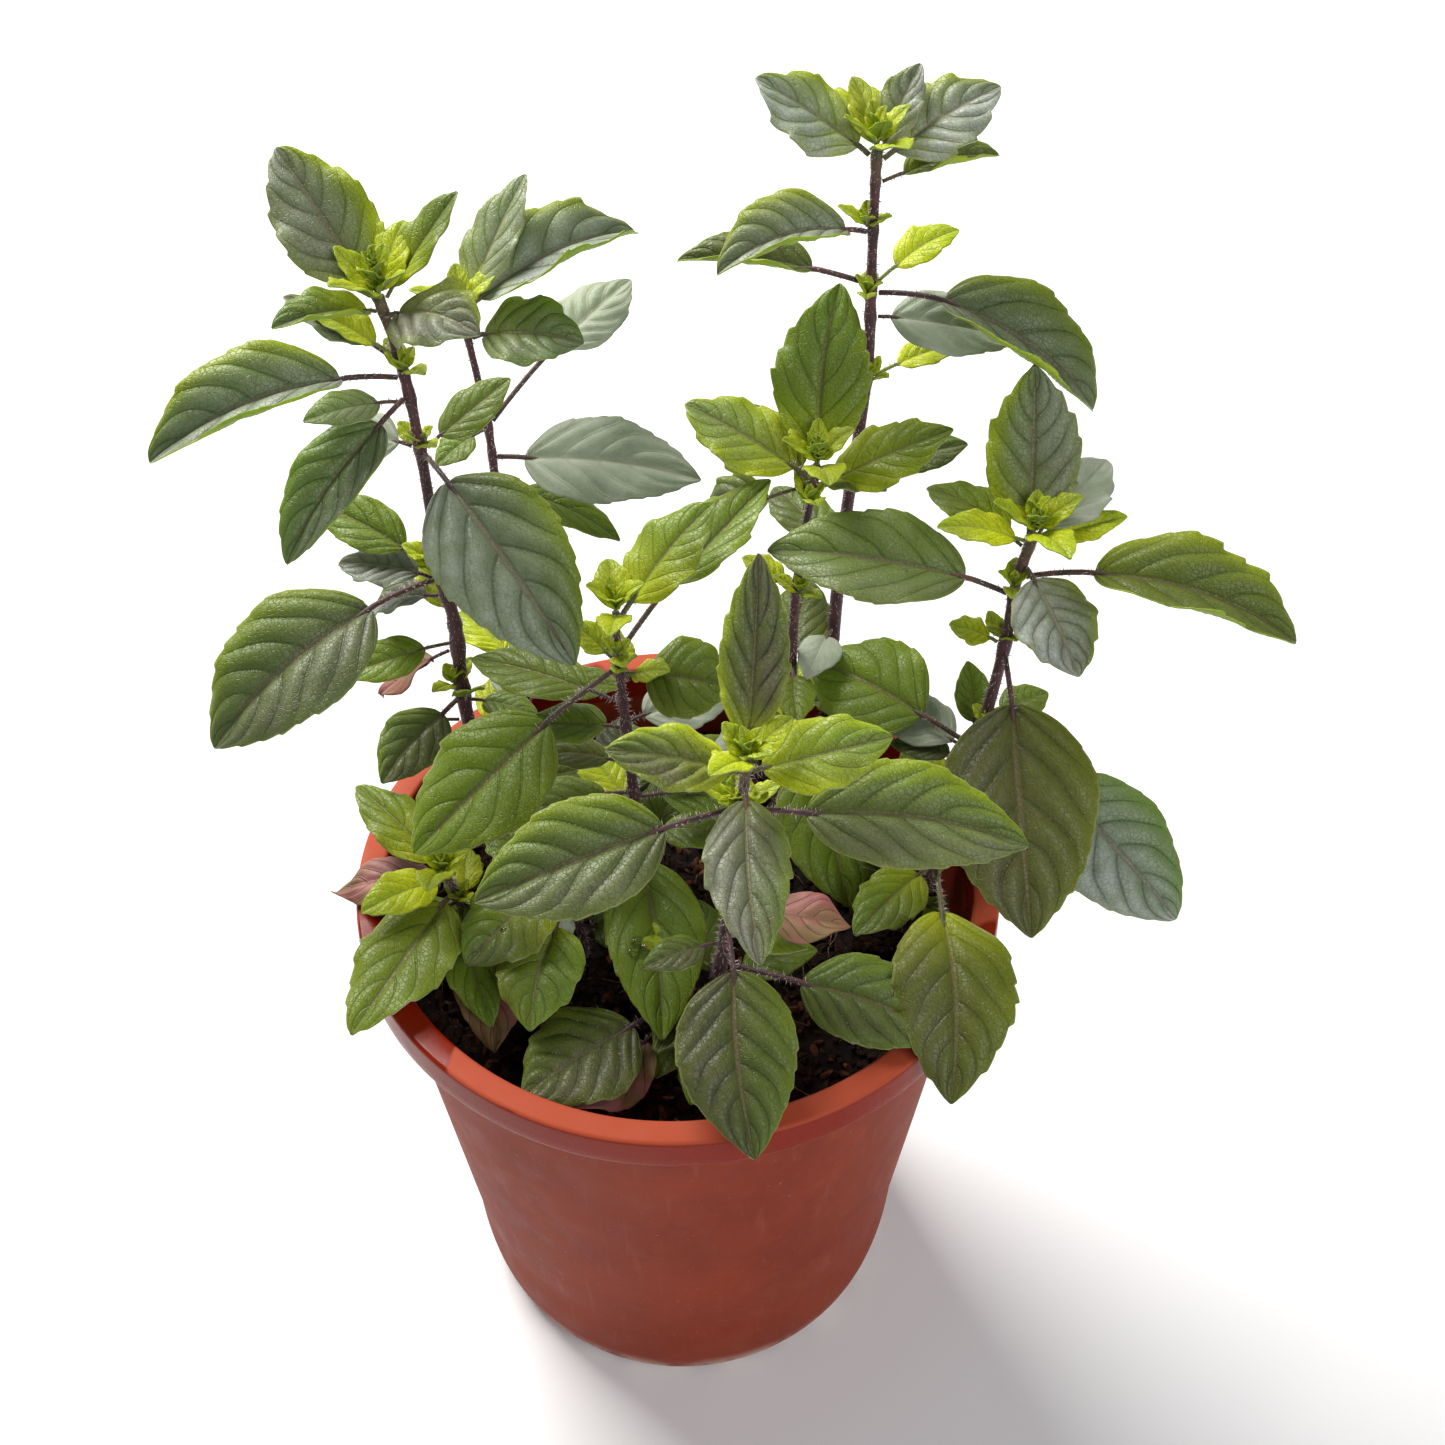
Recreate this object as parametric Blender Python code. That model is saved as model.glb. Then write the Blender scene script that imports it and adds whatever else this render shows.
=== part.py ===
"""Potted holy basil: a round plastic pot of potting mix with ten leafy stems standing in it.

Millimetres are used for every driving dimension and turned into metres by MM.
The origin is the centre of the pot's base on the ground, and +Z is up.
Headings are degrees about +Z, with 0 along +X and 90 along +Y.
"""

import math

import bpy
import bmesh
from mathutils import Matrix, Vector

MM = 0.001
GAP = 0.3  # clear distance between neighbouring pieces

# Pot
POT_HEIGHT = 150
RIM_RADIUS = 80  # outside of the rolled rim
RIM_INNER_RADIUS = 73
RIM_DEPTH = 9  # height of the rolled band
STEP_RADIUS = 76  # the narrower band under the rim
STEP_DEPTH = 4
WALL_TOP_RADIUS = 73.5
WALL_FOOT_RADIUS = 60.5
FOOT_ROUND = 30  # height of the rounded lower edge
BASE_RADIUS = 54
WALL = 2.5
FLOOR = 4
RIM_ROUND = 1.2  # rounding of the rolled band's upper outer edge
RIM_CHAMFER = 1  # inside edge of the rim
RIM_BEND = 0.3  # share of RIM_ROUND by which the middle of that rounding is drawn in
RIM_UNDERCUT = 2  # height of the sloped lower edge of the rolled band
EDGE_EASE = 0.5  # how far the edges of the bands are eased
POT_SEGMENTS = 48
FOOT_STEPS = 4
INNER_FOOT_STEPS = 3
SMOOTH_BELOW = 35  # degrees between faces that are still shaded as one surface

# Potting mix
SOIL_LEVEL = 128

# Stems: points the stem passes through, from the potting mix to the growing tip
STEM_SIDES_RESOLUTION = 1
ROUTE_STEPS = 3  # points between two of a stem's own
STRAIGHT_FOOT = 6  # how far a stem stands straight up before it leans
STEM_TIP_SHARE = 0.6  # the tip's radius as a share of the foot's
STEMS = {
    "stem_left": (2.0, ((-48, 32), (-54, 36, 167), (-55, 40, 196), (-57, 42, 210), (-59, 47, 242),
                        (-61, 50, 263), (-65, 53, 282))),
    "stem_left_rear": (1.6, ((-40, 52), (-45, 66, 185), (-47, 78, 220), (-49, 83, 235), (-53, 90, 256))),
    "stem_centre": (1.6, ((-9, 10), (-11, 10, 170), (-12, 10, 192), (-13, 10, 212), (-13, 10, 227))),
    "stem_front": (1.8, ((9, -28), (11, -34, 160), (14, -37, 195), (15, -39, 215), (16, -41, 232))),
    "stem_front_low": (1.3, ((-24, -10), (-25, -11, 145), (-28, -12, 162))),
    "stem_left_low": (1.3, ((-48, -4), (-52, -7, 142), (-56, -11, 162))),
    "stem_rear": (1.7, ((27, 34), (28, 37, 170), (29, 42, 206), (32, 46, 232), (33, 47, 240))),
    "stem_tall": (2.0, ((38, 46), (39, 50, 175), (41, 57, 212), (45, 65, 252), (45, 69, 274),
                        (45, 72, 287), (45, 75, 306))),
    "stem_right": (2.0, ((62, 12), (70, 14, 165), (74, 16, 185), (77, 18, 209), (78, 20, 226),
                         (81, 22, 240))),
    "stem_right_low": (1.3, ((58, -2), (62, 0, 142), (63, -1, 158))),
}

# Leaves: stem, height of the joint, heading, rise of the chord, length with stalk, blade width,
# stalk length, arch (degrees of droop from stalk to tip), roll about the chord, finish
LEAVES = {
    "leaf_left_top_back": ("stem_left", 280, 135, 40, 40, 22, 4, 25, -15, "deep"),
    "leaf_left_top_front": ("stem_left", 278, -35, 12, 27, 20, 3, 50, 15, "purple"),
    "leaf_left_upper_back": ("stem_left", 267, 160, 22, 28, 12, 6, 20, 0, "purple"),
    "leaf_left_upper_outer": ("stem_left", 263, -155, -5, 58, 24, 13, 65, -15, "deep"),
    "leaf_left_drooping": ("stem_left", 258, -130, -30, 46, 19, 8, 40, -15, "deep"),
    "leaf_left_large_front": ("stem_left", 244, -53, -20, 64, 30, 14, 85, 20, "deep"),
    "leaf_left_large_outer": ("stem_left", 210, -141, -15, 66, 32, 18, 70, -15, "deep"),
    "leaf_left_lowest": ("stem_left", 175, -125, -10, 30, 16, 6, 30, -20, "deep"),
    "leaf_left_rear_large": ("stem_left_rear", 254, 35, 5, 50, 25, 4, 60, 15, "deep"),
    "leaf_left_rear_short": ("stem_left_rear", 248, -10, 4, 28, 21, 3, 60, 15, "deep"),
    "leaf_left_rear_pale": ("stem_left_rear", 227, 45, 22, 52, 18, 24, 30, 10, "purple"),
    "leaf_left_rear_inner": ("stem_left_rear", 219, -10, 0, 52, 24, 7, 25, 25, "purple"),
    "leaf_centre_top": ("stem_centre", 225, 40, 35, 33, 18, 4, 20, 0, "green"),
    "leaf_centre_rear": ("stem_centre", 215, 45, 25, 53, 16, 18, 25, 0, "green"),
    "leaf_centre_right": ("stem_centre", 208, -10, 0, 26, 21, 5, 30, 20, "green"),
    "leaf_centre_large": ("stem_centre", 210, -140, -20, 62, 29, 20, 30, -10, "green"),
    "leaf_centre_low": ("stem_centre", 155, -83, -7, 59, 24, 10, 25, 0, "green"),
    "leaf_front_up": ("stem_front", 231, 85, 50, 42, 14, 4, 15, 0, "purple"),
    "leaf_front_left": ("stem_front", 228, 180, 14, 28, 15, 2, 25, -15, "purple"),
    "leaf_front_right": ("stem_front", 228, 10, 10, 30, 17, 2, 25, 15, "green"),
    "leaf_front_down": ("stem_front", 224, -86, -10, 41, 17, 3, 25, 0, "purple"),
    "leaf_front_large_left": ("stem_front", 216, -160, -7, 58, 25, 16, 40, -25, "deep"),
    "leaf_front_large_right": ("stem_front", 215, -5, -5, 60, 24, 12, 35, 25, "deep"),
    "leaf_front_hanging": ("stem_front", 172, -83, -22, 52, 27, 10, 30, 0, "deep"),
    "leaf_front_lower_right": ("stem_front", 155, -20, -3, 55, 22, 18, 35, 15, "deep"),
    "leaf_front_lower_left": ("stem_front", 142, -144, 1, 53, 28, 22, 30, 0, "deep"),
    "leaf_front_low_two_tone": ("stem_front_low", 155, -100, -5, 38, 20, 10, 30, 0, "green"),
    "leaf_front_low_withered": ("stem_left_low", 140, -78, -6, 38, 18, 4, 20, 0, "withered"),
    "leaf_left_low_back": ("stem_left_low", 161, 135, 10, 33, 14, 3, 25, 0, "green"),
    "leaf_left_low_purple": ("stem_left_low", 158, 175, -15, 29, 14, 3, 25, 0, "withered"),
    "leaf_left_low_outer": ("stem_left_low", 153, -115, 0, 46, 23, 4, 40, 0, "green"),
    "leaf_left_low_front": ("stem_left_low", 152, -72, -20, 34, 14, 3, 35, 0, "green"),
    "leaf_rear_up": ("stem_rear", 238, 79, 50, 43, 22, 3, 20, 0, "green"),
    "leaf_rear_left": ("stem_rear", 236, 155, 20, 34, 19, 4, 30, -15, "green"),
    "leaf_rear_right": ("stem_rear", 234, 5, 26, 34, 16, 4, 25, 20, "green"),
    "leaf_tall_top_left": ("stem_tall", 304, 165, 30, 30, 19, 3, 25, -20, "deep"),
    "leaf_tall_top_right": ("stem_tall", 303, 20, 25, 30, 19, 3, 25, 20, "deep"),
    "leaf_tall_left": ("stem_tall", 287, -160, -5, 36, 20, 5, 65, -15, "deep"),
    "leaf_tall_lower_left": ("stem_tall", 275, 175, 5, 43, 16, 12, 30, -10, "deep"),
    "leaf_tall_arching_right": ("stem_tall", 273, -16, -23, 57, 26, 14, 85, 15, "deep"),
    "leaf_right_up": ("stem_right", 237, 90, 58, 39, 21, 3, 20, 0, "deep"),
    "leaf_right_front": ("stem_right", 232, -65, -25, 28, 20, 3, 30, 0, "purple"),
    "leaf_right_far": ("stem_right", 229, -15, -5, 62, 24, 15, 75, 15, "deep"),
    "leaf_right_inner": ("stem_right", 224, 170, 5, 56, 25, 10, 45, -15, "green"),
    "leaf_right_largest": ("stem_right", 208, -85, -35, 66, 37, 12, 30, 0, "deep"),
    "leaf_right_lower": ("stem_right", 182, -42, -20, 62, 29, 20, 70, 15, "deep"),
    "leaf_right_lower_inner": ("stem_right", 178, 145, 5, 46, 28, 13, 30, -20, "green"),
    "leaf_right_low_overhang": ("stem_right_low", 156, -90, -9, 65, 28, 20, 70, 0, "deep"),
}
LEAF_THICKNESS = 0.5
MIDRIB_THICKNESS = 1.1
STALK_RADIUS = 0.65
BLADE_FOLD = 14  # degrees each half of the blade rises from the midrib
BLADE_BASE_POWER = 0.85  # moves the widest place towards the stalk
BLADE_FULLNESS = 0.75  # smaller makes the outline blunter
QUARTER_REACH = 0.55  # how far out the points between midrib and margin lie
STALK_END = 0.97  # the last ring of the stalk, as a share of the stalk
BLADE_STATIONS = (0.07, 0.24, 0.45, 0.66, 0.86)
RING_ANGLES = (180, 135, 90, 45, 0, -45, -90, -135)

# Finishes: colour, roughness
FINISHES = {
    "pot": ((0.42, 0.09, 0.045), 0.5),
    "soil": ((0.05, 0.03, 0.02), 0.95),
    "stem": ((0.10, 0.03, 0.04), 0.7),
    "deep": ((0.035, 0.08, 0.03), 0.5),
    "green": ((0.07, 0.19, 0.03), 0.5),
    "purple": ((0.10, 0.09, 0.09), 0.55),
    "withered": ((0.32, 0.15, 0.12), 0.75),
}


def remove_scene_objects():
    for item in list(bpy.data.objects):
        bpy.data.objects.remove(item, do_unlink=True)


def make_material(finish):
    colour, roughness = FINISHES[finish]
    material = bpy.data.materials.new(finish)
    material.use_nodes = True
    shader = material.node_tree.nodes["Principled BSDF"]
    shader.inputs["Base Color"].default_value = (*colour, 1.0)
    shader.inputs["Roughness"].default_value = roughness
    shader.inputs["Metallic"].default_value = 0.0
    material.diffuse_color = (*colour, 1.0)
    return material


def add_object(name, data, finish):
    item = bpy.data.objects.new(name, data)
    bpy.context.collection.objects.link(item)
    data.materials.append(make_material(finish))
    return item


def turned_solid(name, profile, finish):
    """A closed solid of revolution from (radius, height) pairs that start and end on the axis."""
    form = bmesh.new()
    rings = []
    for radius, height in profile:
        if radius == 0:
            rings.append([form.verts.new((0, 0, height * MM))])
            continue
        ring = []
        for step in range(POT_SEGMENTS):
            angle = 2 * math.pi * step / POT_SEGMENTS
            place = (radius * math.cos(angle) * MM, radius * math.sin(angle) * MM, height * MM)
            ring.append(form.verts.new(place))
        rings.append(ring)
    for below, above in zip(rings, rings[1:]):
        for step in range(POT_SEGMENTS):
            after = (step + 1) % POT_SEGMENTS
            if len(below) == 1:
                form.faces.new((below[0], above[after], above[step]))
            elif len(above) == 1:
                form.faces.new((below[step], below[after], above[0]))
            else:
                form.faces.new((below[step], below[after], above[after], above[step]))
    bmesh.ops.recalc_face_normals(form, faces=form.faces)
    mesh = bpy.data.meshes.new(name)
    form.to_mesh(mesh)
    form.free()
    mesh.shade_smooth()
    mesh.set_sharp_from_angle(angle=math.radians(SMOOTH_BELOW))
    return add_object(name, mesh, finish)


def rounded_foot(base, wall, height, steps):
    """Quarter-ellipse from the base's edge up to the wall's foot."""
    points = []
    for step in range(steps + 1):
        angle = math.pi / 2 * step / steps
        points.append((base + (wall - base) * math.sin(angle), height * (1 - math.cos(angle))))
    return points


def pot_profile():
    step_top = POT_HEIGHT - RIM_DEPTH
    step_foot = step_top - STEP_DEPTH
    outside = [(0, 0)]
    outside += rounded_foot(BASE_RADIUS, WALL_FOOT_RADIUS, FOOT_ROUND, FOOT_STEPS)
    outside += [(WALL_TOP_RADIUS, step_foot), (STEP_RADIUS, step_foot + EDGE_EASE), (STEP_RADIUS, step_top)]
    outside += [(RIM_RADIUS - EDGE_EASE, step_top), (RIM_RADIUS, step_top + RIM_UNDERCUT)]
    outside += [(RIM_RADIUS, POT_HEIGHT - RIM_ROUND)]
    outside += [(RIM_RADIUS - RIM_BEND * RIM_ROUND, POT_HEIGHT - RIM_BEND * RIM_ROUND)]
    outside += [(RIM_RADIUS - RIM_ROUND, POT_HEIGHT)]
    inside = [(RIM_INNER_RADIUS + RIM_CHAMFER, POT_HEIGHT), (RIM_INNER_RADIUS, POT_HEIGHT - RIM_CHAMFER)]
    return outside + inside + inner_wall(0) + [(0, FLOOR)]


def inner_wall(clearance):
    """The pot's inside from under the rim down to the floor, drawn in by a clearance."""
    foot = rounded_foot(BASE_RADIUS - WALL, WALL_FOOT_RADIUS - WALL, FOOT_ROUND, INNER_FOOT_STEPS)
    points = [(WALL_TOP_RADIUS - WALL - clearance, POT_HEIGHT - RIM_DEPTH - STEP_DEPTH)]
    for radius, height in reversed(foot):
        points.append((radius - clearance, height + FLOOR + clearance))
    return points


def soil_profile():
    wall = inner_wall(GAP)
    top_radius = wall_radius_at(SOIL_LEVEL) - GAP
    return [(0, FLOOR + GAP)] + list(reversed(wall[1:])) + [(top_radius, SOIL_LEVEL), (0, SOIL_LEVEL)]


def wall_radius_at(height):
    """Inner radius of the straight part of the pot's wall."""
    top = POT_HEIGHT - RIM_DEPTH - STEP_DEPTH
    foot = FOOT_ROUND + FLOOR
    share = (height - foot) / (top - foot)
    return WALL_FOOT_RADIUS - WALL + (WALL_TOP_RADIUS - WALL_FOOT_RADIUS) * share


def smooth_route(points, steps):
    """Catmull-Rom curve through the points."""
    ends = [points[0] * 2 - points[1]] + points + [points[-1] * 2 - points[-2]]
    route = []
    for a, b, c, d in zip(ends, ends[1:], ends[2:], ends[3:]):
        for step in range(steps):
            t = step / steps
            route.append(0.5 * (2 * b + (c - a) * t + (2 * a - 5 * b + 4 * c - d) * t ** 2
                                + (3 * b - a - 3 * c + d) * t ** 3))
    route.append(points[-1])
    return route


def stem_route(name):
    """The stem's centre line; its first stretch stands straight up from the potting mix."""
    foot = STEMS[name][1][0]
    points = [Vector((*foot, SOIL_LEVEL + STRAIGHT_FOOT))]
    points += [Vector(point) for point in STEMS[name][1][1:]]
    return [Vector((*foot, SOIL_LEVEL + GAP))] + smooth_route(points, ROUTE_STEPS)


def stem_radius(name, height):
    route_top = STEMS[name][1][-1][2]
    share = (height - SOIL_LEVEL) / (route_top - SOIL_LEVEL)
    return STEMS[name][0] * (1 - (1 - STEM_TIP_SHARE) * share)


def stem_point(name, height):
    route = stem_route(name)
    for low, high in zip(route, route[1:]):
        if low.z <= height <= high.z:
            return low.lerp(high, (height - low.z) / (high.z - low.z))
    return route[-1]


def add_stem(name):
    curve = bpy.data.curves.new(name, "CURVE")
    curve.dimensions = "3D"
    curve.bevel_depth = MM
    curve.bevel_resolution = STEM_SIDES_RESOLUTION
    curve.use_fill_caps = True
    route = stem_route(name)
    spline = curve.splines.new("POLY")
    spline.points.add(len(route) - 1)
    for place, point in zip(route, spline.points):
        point.co = (*(place * MM), 1.0)
        point.radius = stem_radius(name, place.z)
    return add_object(name, curve, "stem")


def leaf_frame(heading, rise, roll):
    """Directions along the chord, across the blade and out of its upper side."""
    heading, rise = math.radians(heading), math.radians(rise)
    along = Vector((math.cos(heading) * math.cos(rise), math.sin(heading) * math.cos(rise), math.sin(rise)))
    across = Vector((-math.sin(heading), math.cos(heading), 0.0))
    across.rotate(Matrix.Rotation(math.radians(roll), 3, along))
    return along, across, along.cross(across)


def arc_point(share, length, arch):
    """Distance along the chord, height over it and slope at a share of an arched leaf."""
    turn = math.radians(arch)
    radius = length / (2 * math.sin(turn / 2))
    slope = turn * (0.5 - share)
    along = length / 2 - radius * math.sin(slope)
    return along, radius * (math.cos(slope) - math.cos(turn / 2)), slope


def blade_half_width(share, width):
    """Rounded at the stalk, widest before the middle and drawn to a blunt point."""
    return width / 2 * math.sin(math.pi * share ** BLADE_BASE_POWER) ** BLADE_FULLNESS


def leaf_ring(share, leaf):
    """Eight points around the leaf at a share of its full length: stalk first, then blade."""
    _, _, heading, rise, length, width, stalk, arch, roll, _ = leaf
    along, across, up = leaf_frame(heading, rise, roll)
    run, height, slope = arc_point(share, length, arch)
    centre = along * run + up * height
    normal = up * math.cos(slope) - along * math.sin(slope)
    blade_share = (share * length - stalk) / (length - stalk)
    ring = []
    for angle in RING_ANGLES:
        turn = math.radians(angle)
        if blade_share <= 0:
            ring.append(centre + (across * math.cos(turn) + normal * math.sin(turn)) * STALK_RADIUS)
            continue
        reach = blade_half_width(blade_share, width)
        reach *= abs(math.cos(turn)) if angle % 90 == 0 else QUARTER_REACH
        side = math.copysign(1, math.cos(turn)) * reach
        lift = reach * math.tan(math.radians(BLADE_FOLD))
        thickness = MIDRIB_THICKNESS if angle in (90, -90) else LEAF_THICKNESS
        bulge = 0 if angle in (0, 180) else math.copysign(thickness / 2, math.sin(turn))
        ring.append(centre + across * side + normal * (lift + bulge))
    return ring


def leaf_start(leaf):
    """Where the stalk leaves its stem, clear of the stem's skin."""
    stem, height, heading, rise = leaf[:4]
    steepest = math.radians(abs(rise) + leaf[7] / 2)
    reach = stem_radius(stem, height) + GAP + STALK_RADIUS * math.sin(steepest)
    turn = math.radians(heading)
    return stem_point(stem, height) + Vector((math.cos(turn), math.sin(turn), 0)) * reach


def add_leaf(name):
    leaf = LEAVES[name]
    length, stalk = leaf[4], leaf[6]
    start = leaf_start(leaf)
    shares = [0, STALK_END * stalk / length]
    shares += [(stalk + station * (length - stalk)) / length for station in BLADE_STATIONS]
    form = bmesh.new()
    rings = []
    for share in shares:
        rings.append([form.verts.new((start + place) * MM) for place in leaf_ring(share, leaf)])
    tip_place = leaf_frame(*leaf[2:4], leaf[8])[0] * length
    tip = form.verts.new((start + tip_place) * MM)
    form.faces.new(rings[0])
    count = len(RING_ANGLES)
    for near, far in zip(rings, rings[1:]):
        for step in range(count):
            after = (step + 1) % count
            form.faces.new((near[step], far[step], far[after], near[after]))
    for step in range(count):
        form.faces.new((rings[-1][step], tip, rings[-1][(step + 1) % count]))
    bmesh.ops.triangulate(form, faces=form.faces)
    bmesh.ops.recalc_face_normals(form, faces=form.faces)
    mesh = bpy.data.meshes.new(name)
    form.to_mesh(mesh)
    form.free()
    mesh.shade_smooth()
    return add_object(name, mesh, leaf[9])


def main():
    remove_scene_objects()
    turned_solid("pot", pot_profile(), "pot")
    turned_solid("potting_mix", soil_profile(), "soil")
    for name in STEMS:
        add_stem(name)
    for name in LEAVES:
        add_leaf(name)


main()
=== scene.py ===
"""Potted holy basil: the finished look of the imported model.

Lengths in the plant plan are millimetres; MM turns them into metres.
The plan of stems and large leaves is the CAD's own, and the small young leaves, hairs, chips and
drops are added here inside the CAD model's box.
"""

import functools
import math
import random

import bmesh
import bpy
import numpy as np
from mathutils import Matrix, Vector


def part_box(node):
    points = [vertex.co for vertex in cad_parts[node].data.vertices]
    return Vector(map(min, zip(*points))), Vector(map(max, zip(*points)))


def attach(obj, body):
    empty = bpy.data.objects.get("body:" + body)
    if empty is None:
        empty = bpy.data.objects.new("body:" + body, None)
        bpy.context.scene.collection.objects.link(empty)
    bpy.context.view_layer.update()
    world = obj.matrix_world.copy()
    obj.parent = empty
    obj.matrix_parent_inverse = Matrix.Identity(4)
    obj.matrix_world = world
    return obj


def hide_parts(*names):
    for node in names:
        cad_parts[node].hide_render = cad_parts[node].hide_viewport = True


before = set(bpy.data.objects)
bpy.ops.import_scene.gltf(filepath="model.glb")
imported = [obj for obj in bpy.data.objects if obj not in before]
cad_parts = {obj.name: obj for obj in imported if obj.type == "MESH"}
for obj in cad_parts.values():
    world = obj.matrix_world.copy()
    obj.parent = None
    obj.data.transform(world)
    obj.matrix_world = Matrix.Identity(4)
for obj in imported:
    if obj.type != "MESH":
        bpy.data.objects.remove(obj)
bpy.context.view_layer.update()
MM = 0.001

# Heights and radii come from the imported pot
POT_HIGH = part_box("pot")[1]
RIM_RADIUS = POT_HIGH[0] / MM
POT_HEIGHT = POT_HIGH[2] / MM
SOIL_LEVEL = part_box("potting_mix")[1][2] / MM
GAP = 0.3  # between one grown piece and the next

STRAIGHT_FOOT = 6  # a stem leaves the potting mix upright over this height
STEM_TIP_SHARE = 0.5  # a stem's radius at its tip, as a share of that at its foot

# Stems: foot radius, then points the stem passes through up to the growing tip
STEMS = {
    "stem_left": (2.0, ((-48, 32), (-54, 36, 167), (-55, 40, 196), (-57, 42, 210), (-59, 47, 242),
                        (-61, 50, 263), (-65, 53, 282))),
    "stem_left_rear": (1.6, ((-40, 52), (-45, 66, 185), (-47, 78, 220), (-49, 83, 235), (-53, 90, 256))),
    "stem_centre": (1.6, ((-9, 10), (-11, 10, 170), (-12, 10, 192), (-13, 10, 212), (-13, 10, 227))),
    "stem_front": (1.8, ((9, -28), (11, -34, 160), (14, -37, 195), (15, -39, 215), (16, -41, 232))),
    "stem_front_low": (1.3, ((-24, -10), (-25, -11, 145), (-28, -12, 162))),
    "stem_left_low": (1.3, ((-48, -4), (-52, -7, 142), (-56, -11, 162))),
    "stem_rear": (1.7, ((27, 34), (28, 37, 170), (29, 42, 206), (32, 46, 232), (33, 47, 240))),
    "stem_tall": (2.0, ((38, 46), (39, 50, 175), (41, 57, 212), (45, 65, 252), (45, 69, 274),
                        (45, 72, 287), (45, 75, 306))),
    "stem_right": (2.0, ((62, 12), (70, 14, 165), (74, 16, 185), (77, 18, 209), (78, 20, 226),
                         (81, 22, 240))),
    "stem_right_low": (1.3, ((58, -2), (62, 0, 142), (63, -1, 158))),
}


def rows_with_stem(table):
    """One row per leaf, with its stem's name in front, from a table sorted by stem."""
    return {name: (stem, *row) for stem, rows in table.items() for name, row in rows.items()}


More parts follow.
